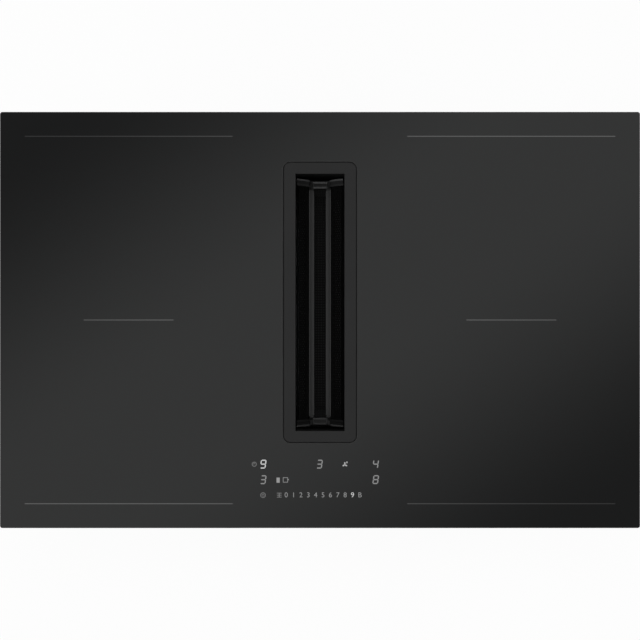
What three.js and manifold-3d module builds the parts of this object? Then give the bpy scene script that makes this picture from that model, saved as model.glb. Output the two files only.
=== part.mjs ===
// A built-in induction cooktop with a downdraft extractor in the middle of its glass.
// Millimetres, +Z up, the front edge with the touch controls towards -Y. The origin is the middle of
// the footprint, at the level of the fan box's foot, and the top of the glass is HEIGHT above it.

import * as THREE from "three";
import { mergeVertices } from "three/addons/utils/BufferGeometryUtils.js";
import Module from "manifold-3d";

const wasm = await Module();
wasm.setup();

// ---------------------------------------------------------------- driving dimensions

const HEIGHT = 200;
const GAP = 0.3; // clearance between two pieces that seat on each other

const GLASS = { width: 800, depth: 520, thickness: 4, corner: 3, facet: 1 };
const SEAL = { inset: 1, width: 7.4, thickness: 3 }; // foam tape that lies on the worktop
const FRAME = { width: 12, web: 2.5, flange: 1.5, height: 4.4 }; // rails bonded under the glass
const PAN = { width: 776, depth: 496, corner: 6, wall: 1.2, height: 48, rim: 10 };

// The extractor's mouth. Its rim is let into the glass, a little behind the middle.
const VENT = { y: 22, width: 91, length: 350, corner: 8.5, rim: 5.3, facet: 0.8, joint: 0.6 };
const MOUTH = { width: 61.2, length: 321.4, corner: 0.8, skirt: 18.7, wall: 2.4 };
const SHAFT = { width: 68, length: 331, wall: 2.5, corner: 1, flange: 12, ledge: 11.5 };

// The grease filter hangs in the mouth like a hammock, with two grip rails along its keel.
const FILTER = { halfWidth: 29.5, halfLength: 158.8, edgeDrop: 29.5, keelDrop: 60 };
const ARM = [
  [9, 0],
  [13.8, 17],
  [21, 23.5],
  [FILTER.halfWidth, FILTER.keelDrop - FILTER.edgeDrop],
]; // half of a stirrup's section: distance from the middle, height above the keel
const STIRRUP = { width: 8.6, thickness: 4, lip: 2.2, lipHeight: 1.8 };
const RAIL = { inner: 7.7, outer: 14.2, wall: 1.4, foot: 9, wallDrop: 46, ledge: 1.8, endGap: 12 };
const OVERFLOW = { halfWidth: 20, wall: 2, height: 15.7, post: 5 };

const MESH_THICKNESS = 1.4; // layers of expanded metal, pressed together
const KEEL_MESH = { drop: 5.9, rows: 26, hole: [9.4, 7.4] };
const SIDE_MESH = { rows: 20, margin: 4, slot: 10 };

// Two cooking fields, each with a front and a rear coil.
const FIELD = { x: 239.5, width: 262, length: 462 };
const COIL = { pitch: 229.4, width: 232, depth: 204, corner: 80, eye: 62, height: 5 };

const FAN_BOX = { left: -62, right: 262, front: -165, rear: 225, wall: 2.5, corner: 20, split: 126 };
const BLOWER = { x: 137, y: 10, radius: 78, eye: 60, blades: 28, bladeDepth: 16, lean: 15 };
const SCROLL = { start: 84, growth: 34, tongue: 70, wall: 2.5, floor: 34, height: 74, steps: 22 };
const DUCT = { width: 222, height: 89, x: 130, floor: 26, wall: 2.2, end: 247 }; // flat duct, 222 x 89

// ---------------------------------------------------------------- levels, from the glass down

const GLASS_UNDER = HEIGHT - GLASS.thickness;
const SEAT = GLASS_UNDER - GAP; // what bears up against the glass ends here
const FRAME_UNDER = SEAT - FRAME.height;
const PAN_TOP = FRAME_UNDER - GAP;
const PAN_UNDER = PAN_TOP - PAN.height;
const PAN_FLOOR = PAN_UNDER + PAN.wall;
const STANDING = PAN_FLOOR + GAP; // where pieces stand on the pan's floor

const MAT_TOP = SEAT - GAP;
const MAT_UNDER = MAT_TOP - 1.2;
const WINDING_TOP = MAT_UNDER - GAP;
const WINDING_UNDER = WINDING_TOP - COIL.height;
const CARRIER_TOP = WINDING_UNDER - GAP;
const CARRIER_UNDER = CARRIER_TOP - 7.5;
const COIL_TRAY_TOP = CARRIER_UNDER - GAP;

const BOX_TOP = PAN_UNDER - 3.8;
const BOX_FLOOR = 8; // the fan box stands on its rim, and its floor is let in by this much

// ---------------------------------------------------------------- materials

const finish = (color, roughness, metalness) =>
  new THREE.MeshStandardMaterial({ color, roughness, metalness });

const BLACK_GLASS = finish(0x101112, 0.06, 0);
const SATIN_BLACK = finish(0x1b1b1c, 0.45, 0.1);
const BLACK_PLASTIC = finish(0x202123, 0.6, 0);
const GREY_PLASTIC = finish(0x8d9093, 0.6, 0);
const WHITE_PLASTIC = finish(0xd8d8d2, 0.55, 0);
const ZINC_STEEL = finish(0xa9adb0, 0.42, 0.9);
const SPRING_STEEL = finish(0x8f9396, 0.35, 1);
const ALUMINIUM = finish(0xc2c5c8, 0.38, 1);
const COPPER = finish(0xa8643c, 0.45, 0.8);
const FERRITE_GREY = finish(0x4a4b4d, 0.7, 0);
const MICA = finish(0xb9aa8a, 0.7, 0);
const FOAM = finish(0x2a2a2b, 0.9, 0);
const BOARD_GREEN = finish(0x1f5b3a, 0.5, 0);

// ---------------------------------------------------------------- solids

/** A closed geometry as a solid that can be joined to others and cut. */
function solid(geometry) {
  const bare = geometry.index ? geometry.toNonIndexed() : geometry.clone();
  bare.deleteAttribute("normal");
  bare.deleteAttribute("uv");
  const merged = mergeVertices(bare, 1e-4);
  const mesh = new wasm.Mesh({
    numProp: 3,
    vertProperties: new Float32Array(merged.attributes.position.array),
    triVerts: new Uint32Array(merged.index.array),
  });
  return new wasm.Manifold(mesh);
}

function geometryOf(body) {
  const mesh = body.getMesh();
  const geometry = new THREE.BufferGeometry();
  geometry.setAttribute("position", new THREE.BufferAttribute(mesh.vertProperties, 3));
  geometry.setIndex(new THREE.BufferAttribute(mesh.triVerts, 1));
  geometry.computeVertexNormals();
  return geometry;
}

const join = (...bodies) => bodies.reduce((all, body) => all.add(body));
const cut = (body, ...tools) => body.subtract(join(...tools));

/** A block between two values along each axis. */
function block([x0, x1], [y0, y1], [z0, z1]) {
  const geometry = new THREE.BoxGeometry(x1 - x0, y1 - y0, z1 - z0);
  return solid(geometry.translate((x0 + x1) / 2, (y0 + y1) / 2, (z0 + z1) / 2));
}

/** A rectangle with round corners, for extruding. */
function roundedRect(width, depth, radius, x = 0, y = 0) {
  const [left, right, front, rear] = [x - width / 2, x + width / 2, y - depth / 2, y + depth / 2];
  const outline = new THREE.Shape();
  outline.absarc(right - radius, front + radius, radius, -Math.PI / 2, 0);
  outline.absarc(right - radius, rear - radius, radius, 0, Math.PI / 2);
  outline.absarc(left + radius, rear - radius, radius, Math.PI / 2, Math.PI);
  outline.absarc(left + radius, front + radius, radius, Math.PI, Math.PI * 1.5);
  outline.closePath();
  return outline;
}

/** An outline in X and Y, raised from z0 to z1. */
function plate(outline, [z0, z1], curveSegments = 1) {
  const geometry = new THREE.ExtrudeGeometry(outline, {
    depth: z1 - z0,
    bevelEnabled: false,
    curveSegments,
  });
  return solid(geometry.translate(0, 0, z0));
}

/** A plate with a facet along every edge of its two faces. */
function facetedPlate(outline, [z0, z1], facet, curveSegments = 2) {
  const geometry = new THREE.ExtrudeGeometry(outline, {
    depth: z1 - z0 - 2 * facet,
    bevelThickness: facet,
    bevelSize: facet,
    bevelOffset: -facet,
    bevelSegments: 1,
    curveSegments,
  });
  return solid(geometry.translate(0, 0, z0 + facet));
}

/** A rectangular ring with round corners: its outer size, less a wall all round. */
function ring(width, depth, radius, wall, levels, x = 0, y = 0, curveSegments = 1) {
  const outline = roundedRect(width, depth, radius, x, y);
  const innerRadius = Math.max(radius - wall, 0.8);
  outline.holes.push(roundedRect(width - 2 * wall, depth - 2 * wall, innerRadius, x, y));
  return plate(outline, levels, curveSegments);
}

/** An upright cylinder. */
function disc(radius, [z0, z1], x = 0, y = 0, sides = 12) {
  const geometry = new THREE.CylinderGeometry(radius, radius, z1 - z0, sides);
  return solid(geometry.rotateX(Math.PI / 2).translate(x, y, (z0 + z1) / 2));
}

/** A profile of [radius, z] points, listed up its outer side, turned about Z. */
function turned(profile, sides, x = 0, y = 0) {
  const points = profile.map(([radius, z]) => new THREE.Vector2(radius, z));
  const geometry = new THREE.LatheGeometry(points, sides);
  return solid(geometry.rotateX(Math.PI / 2).translate(x, y, 0));
}

const outlineOf = (points) => new THREE.Shape(points.map(([u, v]) => new THREE.Vector2(u, v)));

const polar = (radius, angle) =>
  new THREE.Vector2(Math.cos(angle), Math.sin(angle)).multiplyScalar(radius);

/** A section in X and Z, drawn along Y. */
function alongY(points, [y0, y1]) {
  const geometry = new THREE.ExtrudeGeometry(outlineOf(points), {
    depth: y1 - y0,
    bevelEnabled: false,
  });
  return solid(geometry.rotateX(Math.PI / 2).translate(0, y1, 0));
}

/** Copies of a body, spaced evenly along a line. */
function row(body, count, [dx, dy]) {
  const copies = [];
  for (let i = 0; i < count; i++) copies.push(body.translate([i * dx, i * dy, 0]));
  return join(...copies);
}

const cooktop = new THREE.Group();

function add(name, body, material, parent = cooktop) {
  const mesh = new THREE.Mesh(geometryOf(body), material);
  mesh.name = name;
  parent.add(mesh);
  return mesh;
}

// ---------------------------------------------------------------- the glass and what holds it

function glassPanel() {
  const outline = roundedRect(GLASS.width, GLASS.depth, GLASS.corner);
  const { width, length, corner, joint, y } = VENT;
  outline.holes.push(roundedRect(width + 2 * joint, length + 2 * joint, corner + joint, 0, y));
  return facetedPlate(outline, [GLASS_UNDER, HEIGHT], GLASS.facet);
}

function worktopSeal() {
  const [width, depth] = [GLASS.width - 2 * SEAL.inset, GLASS.depth - 2 * SEAL.inset];
  return ring(width, depth, GLASS.corner, SEAL.width, [SEAT - SEAL.thickness, SEAT]);
}

/** Rails of L section under the glass, which the pan's rim meets. */
function supportFrame() {
  const { width, web, flange } = FRAME;
  return join(
    ring(PAN.width, PAN.depth, PAN.corner, width, [SEAT - flange, SEAT]),
    ring(PAN.width, PAN.depth, PAN.corner, web, [FRAME_UNDER, SEAT - flange / 2]),
  );
}

/** A folded leaf that grips the sides of the worktop's cut-out. */
function fixingSpring() {
  const [leaf, bulge, length, width] = [0.9, 3, 36, 24];
  const wall = PAN.width / 2 + GAP;
  const outer = [
    [wall, PAN_TOP - length],
    [wall + leaf, PAN_TOP - length],
    [wall + bulge, PAN_TOP - 0.55 * length],
    [wall + bulge, PAN_TOP - 0.4 * length],
    [wall + leaf, PAN_TOP - 4],
    [wall, PAN_TOP - 4],
    [wall, PAN_TOP - 9],
    [wall + bulge - leaf, PAN_TOP - 0.45 * length],
    [wall + bulge - leaf, PAN_TOP - 0.52 * length],
    [wall, PAN_TOP - length + 4],
  ];
  return alongY(outer, [-width / 2, width / 2]);
}

// ---------------------------------------------------------------- the sheet-steel pan

const COOLING_FAN = { x: 250, y: -190, size: 92, height: 29, rotor: 32, intake: 26 };

/** Slots in the pan's floor under a cooling fan. */
function intakeSlots(x) {
  const [slot, pitch, floor] = [6, 11, [PAN_UNDER - 1, PAN_FLOOR + 1]];
  const slots = [];
  for (let i = -2; i <= 2; i++) {
    const reach = Math.sqrt(COOLING_FAN.intake ** 2 - (i * pitch) ** 2 * 0.9);
    const [y, half] = [COOLING_FAN.y + i * pitch, slot / 2];
    slots.push(block([x - reach, x + reach], [y - half, y + half], floor));
  }
  return join(...slots);
}

/** Louvre slots through the pan's side and rear walls, which let the warm air out. */
function louvres() {
  const levels = [PAN_UNDER + 12, PAN_UNDER + 34];
  const side = PAN.width / 2;
  const rear = PAN.depth / 2;
  const upright = block([-side - 2, side + 2], [-92, -86], levels);
  const back = block([-3, 3], [rear - 3, rear + 2], levels);
  return join(
    row(upright, 8, [0, 25]),
    row(back.translate([-330, 0, 0]), 8, [22, 0]),
    row(back.translate([176, 0, 0]), 8, [22, 0]),
  );
}

function basePan() {
  const { width, depth, corner, wall, rim } = PAN;
  const well = SHAFT.wall + 1.8;
  const shell = cut(
    plate(roundedRect(width, depth, corner), [PAN_UNDER, PAN_TOP]),
    plate(roundedRect(width - 2 * wall, depth - 2 * wall, corner - wall), [PAN_FLOOR, PAN_TOP + 1]),
  );
  const turnedIn = ring(width, depth, corner, rim, [PAN_TOP - wall, PAN_TOP]);
  const openings = [
    plate(roundedRect(SHAFT.width + 2 * well, SHAFT.length + 2 * well, 8, 0, VENT.y), [
      PAN_UNDER - 1,
      PAN_FLOOR + 1,
    ]),
    intakeSlots(-COOLING_FAN.x),
    intakeSlots(COOLING_FAN.x),
    louvres(),
    block([-262, -222], [176, 194], [PAN_UNDER - 1, PAN_FLOOR + 1]), // mains leads come up here
  ];
  return cut(join(shell, turnedIn), ...openings);
}

// ---------------------------------------------------------------- the way in for the air

/** The plastic shaft under the mouth: a flange against the glass, walls, and a ledge at each end. */
function inletShaft() {
  const { width, length, wall, corner, flange, ledge } = SHAFT;
  const [bottom, top, y] = [100, SEAT - 1.3, VENT.y];
  const [outerWidth, outerLength] = [width + 2 * wall, length + 2 * wall];
  const [brimWidth, brimLength] = [VENT.width + 2 * flange, VENT.length + 2 * flange];
  const brim = VENT.corner + flange;
  const body = join(
    plate(roundedRect(outerWidth, outerLength, corner + wall, 0, y), [bottom, top]),
    plate(roundedRect(brimWidth, brimLength, brim, 0, y), [top - wall, top]),
  );
  const bore = plate(roundedRect(width, length, corner, 0, y), [bottom - 1, top + 1]);
  const ledges = [-1, 1].map((end) => {
    const wallAt = y + (end * (length + wall)) / 2;
    const tip = y + end * (length / 2 - ledge);
    return block([-22, 22], end < 0 ? [wallAt, tip] : [tip, wallAt], [104, 108]);
  });
  return join(cut(body, bore), ...ledges);
}

function ventGasket() {
  const { width, length, corner, y } = VENT;
  const { flange } = SHAFT;
  const size = [width + 2 * flange, length + 2 * flange, corner + flange];
  return ring(...size, flange - 2, [SEAT - 1, SEAT], 0, y);
}

function shaftGasket() {
  const [width, length] = [SHAFT.width + 2 * SHAFT.wall, SHAFT.length + 2 * SHAFT.wall];
  return ring(width + 13, length + 13, 10, 5, [BOX_TOP + GAP, PAN_UNDER - GAP], 0, VENT.y);
}

/** The frame that lies flush in the glass and lifts off, with a skirt that lines the mouth. */
function coverFrame() {
  const { width, length, corner, rim, facet, y } = VENT;
  const outline = roundedRect(width, length, corner, 0, y);
  outline.holes.push(roundedRect(MOUTH.width, MOUTH.length, MOUTH.corner, 0, y));
  const top = facetedPlate(outline, [HEIGHT - rim, HEIGHT], facet, 3);
  const [skirtWidth, skirtLength] = [MOUTH.width + 2 * MOUTH.wall, MOUTH.length + 2 * MOUTH.wall];
  const under = HEIGHT - rim;
  const levels = [under - MOUTH.skirt, under + rim / 2];
  const skirtCorner = MOUTH.corner + MOUTH.wall;
  const skirt = ring(skirtWidth, skirtLength, skirtCorner, MOUTH.wall, levels, 0, y);
  return join(top, skirt);
}

// ---------------------------------------------------------------- grease filter and overflow tray

/** The hammock section of a stirrup, raised by some height. */
function hammock(raised) {
  const across = [...ARM.map(([x, z]) => [-x, z]).reverse(), ...ARM];
  const top = across.map(([x, z]) => [x, HEIGHT - FILTER.keelDrop + z + raised]);
  const under = top.map(([x, z]) => [x, z - STIRRUP.thickness]).reverse();
  return [...under, ...top].reverse();
}

/** One end of the filter: a channel bent to the hammock's section, with a lip along each side. */
function stirrup(end) {
  const { width, lip, lipHeight } = STIRRUP;
  const outer = VENT.y + end * FILTER.halfLength;
  const [y0, y1] = [outer, outer - end * width].sort((a, b) => a - b);
  return join(
    alongY(hammock(0), [y0, y1]),
    alongY(hammock(lipHeight), [y0, y0 + lip]),
    alongY(hammock(lipHeight), [y1 - lip, y1]),
  );
}

/** A stepped foot that joins a stirrup to both rails, under the end of the perforated strip. */
function filterFoot(end) {
  const keel = HEIGHT - FILTER.keelDrop;
  const wide = [-RAIL.outer, RAIL.outer];
  const outer = VENT.y + end * FILTER.halfLength;
  const reach = (inset) => [outer, outer - end * inset].sort((a, b) => a - b);
  return join(
    block(wide, reach(STIRRUP.width), [keel - RAIL.foot, keel - STIRRUP.thickness + 0.6]),
    block(wide, reach(RAIL.endGap + 6), [keel - RAIL.foot, keel - KEEL_MESH.drop - GAP]),
  );
}

/** The filter's frame: a stirrup at each end, two grip rails and a thin strip along each edge. */
function filterFrame() {
  const { halfWidth, halfLength, keelDrop, edgeDrop } = FILTER;
  const { inner, outer, wall, foot, wallDrop, ledge, endGap } = RAIL;
  const keel = HEIGHT - keelDrop;
  const reach = [VENT.y - halfLength + endGap, VENT.y + halfLength - endGap];
  const full = [VENT.y - halfLength + 2, VENT.y + halfLength - 2];
  const section = [
    [inner - ledge, keel - foot],
    [outer, keel - foot],
    [outer, HEIGHT - wallDrop],
    [outer - wall, HEIGHT - wallDrop],
    [outer - wall, keel + 0.6],
    [inner, keel + 0.6],
    [inner, keel - KEEL_MESH.drop - GAP],
    [inner - ledge, keel - KEEL_MESH.drop - GAP],
  ];
  const mirrored = section.map(([x, z]) => [-x, z]).reverse();
  const edge = [HEIGHT - edgeDrop - 8, HEIGHT - edgeDrop - 1];
  const strips = [-1, 1].map((side) => {
    const xs = [side * halfWidth, side * (halfWidth - 1.2)].sort((a, b) => a - b);
    return block(xs, full, edge);
  });
  const rails = [alongY(section, reach), alongY(mirrored, reach)];
  return join(stirrup(-1), stirrup(1), filterFoot(-1), filterFoot(1), ...rails, ...strips);
}

/** A flat sheet with rectangular holes in even rows, lying in X and Y about the origin. */
function perforated(width, length, thickness, columns, rows, hole) {
  const [columnPitch, rowPitch] = [width / columns, length / rows];
  const [left, front] = [(columnPitch - width) / 2, (rowPitch - length) / 2];
  const [a, b] = [hole[0] / 2, hole[1] / 2];
  const first = block([left - a, left + a], [front - b, front + b], [-1, thickness + 1]);
  const holes = row(row(first, columns, [columnPitch, 0]), rows, [0, rowPitch]);
  const sheet = block([-width / 2, width / 2], [-length / 2, length / 2], [0, thickness]);
  return cut(sheet, holes);
}

/** The perforated strip between the grip rails. */
function keelMesh() {
  const length = 2 * (FILTER.halfLength - STIRRUP.width - GAP);
  const width = 2 * (RAIL.inner - GAP);
  const sheet = perforated(width, length, MESH_THICKNESS, 1, KEEL_MESH.rows, KEEL_MESH.hole);
  return sheet.translate([0, VENT.y, HEIGHT - FILTER.keelDrop - KEEL_MESH.drop]);
}

/** The sloping perforated sheets on both sides, as pieces in their own right. */
function addSideMeshes(parent) {
  const reach = RAIL.outer + MESH_THICKNESS + GAP;
  const foot = new THREE.Vector2(reach, HEIGHT - RAIL.wallDrop);
  const head = new THREE.Vector2(FILTER.halfWidth - 1.5, HEIGHT - FILTER.edgeDrop - 4);
  const slope = new THREE.Vector2().subVectors(head, foot);
  const width = slope.length();
  const length = 2 * (FILTER.halfLength - STIRRUP.width - GAP);
  const { rows, margin, slot } = SIDE_MESH;
  const sheet = perforated(width, length, MESH_THICKNESS, 1, rows, [width - 2 * margin, slot]);
  const middle = foot.clone().add(head).divideScalar(2);
  for (const [side, name] of [
    [-1, "filter_mesh_left"],
    [1, "filter_mesh_right"],
  ]) {
    const mesh = add(name, sheet, SATIN_BLACK, parent);
    mesh.position.set(side * middle.x, VENT.y, middle.y);
    mesh.rotation.y = -side * slope.angle();
  }
}

/** A trough under the filter, with a post at each end that carries the filter. */
function overflowTray() {
  const { halfWidth, wall, height, post } = OVERFLOW;
  const base = 108 + GAP;
  const ends = [VENT.y - FILTER.halfLength, VENT.y + FILTER.halfLength];
  const outer = block([-halfWidth, halfWidth], ends, [base, base + height]);
  const inside = block(
    [-halfWidth + wall, halfWidth - wall],
    [ends[0] + wall, ends[1] - wall],
    [base + wall, base + height + 1],
  );
  const postTop = HEIGHT - FILTER.keelDrop - RAIL.foot - GAP;
  const posts = [
    block([-12, 12], [ends[0], ends[0] + post], [base, postTop]),
    block([-12, 12], [ends[1] - post, ends[1]], [base, postTop]),
  ];
  return join(cut(outer, inside), ...posts);
}

// ---------------------------------------------------------------- coils

/** A sheet tray on four legs, pressed up under a cooking field. */
function coilTray() {
  const { width, length } = FIELD;
  const [top, sheet, leg] = [COIL_TRAY_TOP, 1.5, 20];
  const [w, l] = [width / 2, length / 2];
  const slot = block([-52, 52], [-4, 4], [top - sheet - 1, top + 1]);
  const deck = cut(
    block([-w, w], [-l, l], [top - sheet, top]),
    row(slot.translate([0, -l + 60, 0]), 3, [0, 54]),
    row(slot.translate([0, l - 168, 0]), 3, [0, 54]),
  );
  const parts = [deck];
  for (const side of [-1, 1]) {
    const xs = [side * w, side * (w - sheet)].sort((a, b) => a - b);
    parts.push(block(xs, [-l, l], [top - 10, top]));
    for (const end of [-1, 1]) {
      const ys = [end * l, end * (l - leg)].sort((a, b) => a - b);
      parts.push(block(xs, ys, [STANDING, top]));
    }
  }
  return join(...parts);
}

/** The moulded carrier of one coil, with its ferrite bars glued under it like spokes. */
function coilCarrier() {
  const { width, depth, corner } = COIL;
  const [bars, deck, barWidth] = [8, 2.5, 12];
  const spokes = [];
  for (let i = 0; i < bars; i++) {
    const reach = i % 4 === 0 ? 104 : i % 4 === 2 ? 92 : 98;
    const bar = block(
      [32, reach],
      [-barWidth / 2, barWidth / 2],
      [CARRIER_UNDER, CARRIER_TOP - deck / 2],
    );
    spokes.push(bar.rotate([0, 0, (i * 360) / bars]));
  }
  const outline = roundedRect(width + 8, depth + 8, corner + 4);
  outline.holes.push(roundedRect(18, 18, 8));
  return join(plate(outline, [CARRIER_TOP - deck, CARRIER_TOP]), ...spokes);
}

/** The flat oval winding, as one body in place of its turns. */
function coilWinding() {
  const { width, depth, corner, eye } = COIL;
  return ring(width, depth, corner, (depth - eye) / 2, [WINDING_UNDER, WINDING_TOP], 0, 0, 2);
}

/** A sheet of insulation over both coils of a field. */
function insulationMat() {
  const outline = roundedRect(FIELD.width - 6, FIELD.length - 6, 6);
  for (const end of [-1, 1]) outline.holes.push(roundedRect(20, 20, 9, 0, (end * COIL.pitch) / 2));
  return plate(outline, [MAT_UNDER, MAT_TOP]);
}

/** The sprung temperature sensor in the eye of a coil. */
function panSensor() {
  const profile = [
    [0, WINDING_UNDER],
    [13, WINDING_UNDER],
    [7, WINDING_UNDER + 2.5],
    [7, WINDING_TOP],
    [0, WINDING_TOP],
  ];
  return turned(profile, 10);
}

function addCoils() {
  const shapes = { tray: coilTray(), mat: insulationMat() };
  const stack = [
    ["coil_carrier", coilCarrier(), FERRITE_GREY],
    ["coil_winding", coilWinding(), COPPER],
    ["pan_sensor", panSensor(), WHITE_PLASTIC],
  ];
  for (const [side, hand] of [
    [-1, "left"],
    [1, "right"],
  ]) {
    const field = new THREE.Group();
    field.position.x = side * FIELD.x;
    cooktop.add(field);
    add(`coil_tray_${hand}`, shapes.tray, ALUMINIUM, field);
    add(`insulation_mat_${hand}`, shapes.mat, MICA, field);
    for (const [end, place] of [
      [-1, "front"],
      [1, "rear"],
    ]) {
      for (const [name, body, material] of stack) {
        const mesh = add(`${name}_${place}_${hand}`, body, material, field);
        mesh.position.y = (end * COIL.pitch) / 2;
      }
    }
  }
}

// ---------------------------------------------------------------- electronics

const BOARD = { thickness: 1.6, lift: 5 };

/** A bare board on four short pillars, with its lower left corner at x, y. */
function board(x, y, width, depth, standing) {
  const under = standing + BOARD.lift;
  const pillars = [];
  for (const px of [x + 6, x + width - 6]) {
    for (const py of [y + 6, y + depth - 6]) {
      pillars.push(block([px - 3, px + 3], [py - 3, py + 3], [standing, under + 1]));
    }
  }
  return join(block([x, x + width], [y, y + depth], [under, under + BOARD.thickness]), ...pillars);
}

/** A wound ring choke standing flat on a board. */
function choke(x, y, z, radius, height) {
  const profile = [
    [radius * 0.45, z],
    [radius, z],
    [radius, z + height],
    [radius * 0.45, z + height],
    [radius * 0.45, z],
  ];
  return turned(profile, 10, x, y);
}

/** The power stage of one side, drawn for the left hand. */
function powerBoard() {
  const face = STANDING + BOARD.lift + 1;
  const parts = [board(-110, -138, 220, 290, STANDING)];
  for (const y of [-118, -58, 2, 62]) {
    parts.push(block([-100, -66], [y, y + 22], [face, face + 22])); // film capacitors
  }
  for (const y of [-106, -84, -62]) parts.push(disc(9, [face, face + 24], 62, y, 8));
  parts.push(choke(76, 0, face, 21, 16), choke(76, 60, face, 21, 16));
  for (const x of [-52, -24]) parts.push(block([x, x + 18], [122, 142], [face, face + 15]));
  parts.push(block([20, 72], [126, 140], [face, face + 11])); // row of plug sockets
  parts.push(block([46, 98], [-132, -122], [face, face + 9]));
  return join(...parts);
}

/** An extruded heat sink: a thick foot, upright fins and the power switches bolted to its side. */
function heatSink() {
  const [half, fins, fin, foot] = [32, 11, 1.6, 5];
  const base = STANDING + BOARD.lift + BOARD.thickness + GAP;
  const top = base + 24.5;
  const pitch = (2 * half - fin) / (fins - 1);
  const section = [
    [half, base],
    [half, top],
  ];
  for (let i = fins - 1; i > 0; i--) {
    const left = -half + i * pitch;
    const next = left - pitch + fin;
    section.push([left, top], [left, base + foot], [next, base + foot], [next, top]);
  }
  section.push([-half, top], [-half, base]);
  const switches = row(block([half - 1, half + 4], [-106, -88], [base + 2, base + 18]), 4, [0, 52]);
  return join(alongY(section, [-132, 98]), switches);
}

/** The radial fan that blows through the heat sink: it draws air up through the pan's floor. */
function coolingFanHousing() {
  const { size, height, rotor, intake } = COOLING_FAN;
  const [base, top, skin] = [STANDING, STANDING + height, 2];
  const shell = plate(roundedRect(size, size, 14), [base, top]);
  const chamber = join(
    disc(rotor + 7, [base + skin, top - skin], 0, 0, 16),
    block([-32, rotor + 6], [0, size], [base + skin, top - skin]),
  );
  const spindle = disc(3, [base + 6, top - skin / 2], 0, 0, 6);
  return join(cut(shell, chamber, disc(intake, [base - 1, base + 3], 0, 0, 16)), spindle);
}

function coolingFanRotor() {
  const { rotor, height } = COOLING_FAN;
  const [low, high] = [STANDING + 5, STANDING + height - 3.5];
  const [blades, hub, bore] = [12, 12, 3.3];
  const profile = [
    [bore, low + 2],
    [hub, low + 2],
    [hub, high - 2],
    [rotor, high - 2],
    [rotor, high],
    [bore, high],
    [bore, low + 2],
  ];
  const blade = block([rotor - 9, rotor], [-0.8, 0.8], [low, high - 1]);
  const parts = [turned(profile, 16)];
  for (let i = 0; i < blades; i++) {
    const tilted = blade.translate([-rotor, 0, 0]).rotate([0, 0, 28]).translate([rotor - 1, 0, 0]);
    parts.push(tilted.rotate([0, 0, (i * 360) / blades]));
  }
  return join(...parts);
}

function addPowerStages() {
  const shapes = [
    ["power_board", powerBoard(), BOARD_GREEN, 0],
    ["heat_sink", heatSink(), ALUMINIUM, 0],
    ["cooling_fan_housing", coolingFanHousing(), BLACK_PLASTIC, COOLING_FAN.y],
    ["cooling_fan_rotor", coolingFanRotor(), GREY_PLASTIC, COOLING_FAN.y],
  ];
  for (const [side, hand] of [
    [-1, "left"],
    [1, "right"],
  ]) {
    for (const [name, body, material, y] of shapes) {
      const mesh = add(`${name}_${hand}`, body, material);
      mesh.position.set(side * COOLING_FAN.x, y, 0);
    }
  }
}

/** The mains filter board behind the left power board. */
function filterBoard() {
  const [x, y, face] = [-364, 170, STANDING + BOARD.lift + 1];
  return join(
    board(x, y, 96, 62, STANDING),
    choke(x + 24, y + 36, face, 18, 16),
    block([x + 50, x + 78], [y + 30, y + 42], [face, face + 18]),
    block([x + 50, x + 78], [y + 46, y + 58], [face, face + 18]),
    block([x + 14, x + 84], [y + 12, y + 22], [face, face + 10]),
  );
}

// Where the displays stand behind the glass, as [x, y, width, depth].
const CONTROL = { x: -6, y: -200, width: 184, depth: 60, board: 184 };
const DISPLAYS = [
  [-70.5, -180, 12, 16],
  [-70.5, -200, 12, 16],
  [0, -180, 12, 16],
  [70, -180, 12, 16],
  [70, -200, 12, 16],
  [-50, -200, 20, 10],
  [0, -219, 150, 9],
];

function controlBoard() {
  const { x, y, width, depth, board: level } = CONTROL;
  const [w, d] = [width / 2 - 7, depth / 2 - 1];
  const sheet = block([x - w, x + w], [y - d, y + d], [level, level + BOARD.thickness]);
  const face = level + 1;
  const lamps = DISPLAYS.map(([cx, cy, dx, dy]) => {
    const [hx, hy] = [dx / 2 - 1, dy / 2 - 1];
    return block([cx - hx, cx + hx], [cy - hy, cy + hy], [face, level + 6]);
  });
  const socket = block([20, 44], [y - 14, y - 6], [level - 7, level + 0.5]);
  return join(sheet, socket, ...lamps);
}

/** The plastic frame that presses the touch film to the glass, with a window for each display. */
function touchCarrier() {
  const { x, y, width, depth, board: level } = CONTROL;
  const [w, d, leg] = [width / 2, depth / 2, 6];
  const deck = [SEAT - 5.3, SEAT - GAP];
  const windows = DISPLAYS.map(([cx, cy, dx, dy]) =>
    block([cx - dx / 2, cx + dx / 2], [cy - dy / 2, cy + dy / 2], [deck[0] - 1, deck[1] + 1]),
  );
  const legs = [];
  for (const side of [-1, 1]) {
    for (const end of [-1, 1]) {
      const xs = [x + side * w, x + side * (w - leg)].sort((a, b) => a - b);
      const shelf = [x + side * w, x + side * (w - leg - 6)].sort((a, b) => a - b);
      const ys = [y + end * d, y + end * (d - leg)].sort((a, b) => a - b);
      legs.push(block(xs, ys, [STANDING, deck[0] + 1]));
      legs.push(block(shelf, ys, [level - GAP - 3, level - GAP]));
    }
  }
  const sheet = plate(roundedRect(width, depth, 3, x, y), deck);
  return join(cut(sheet, ...windows), ...legs);
}

// ---------------------------------------------------------------- mains connection, under the pan

const TERMINAL = { x: [-300, -180], y: [150, 220], depth: 26, wall: 2.2, lid: 2.5 };

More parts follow.
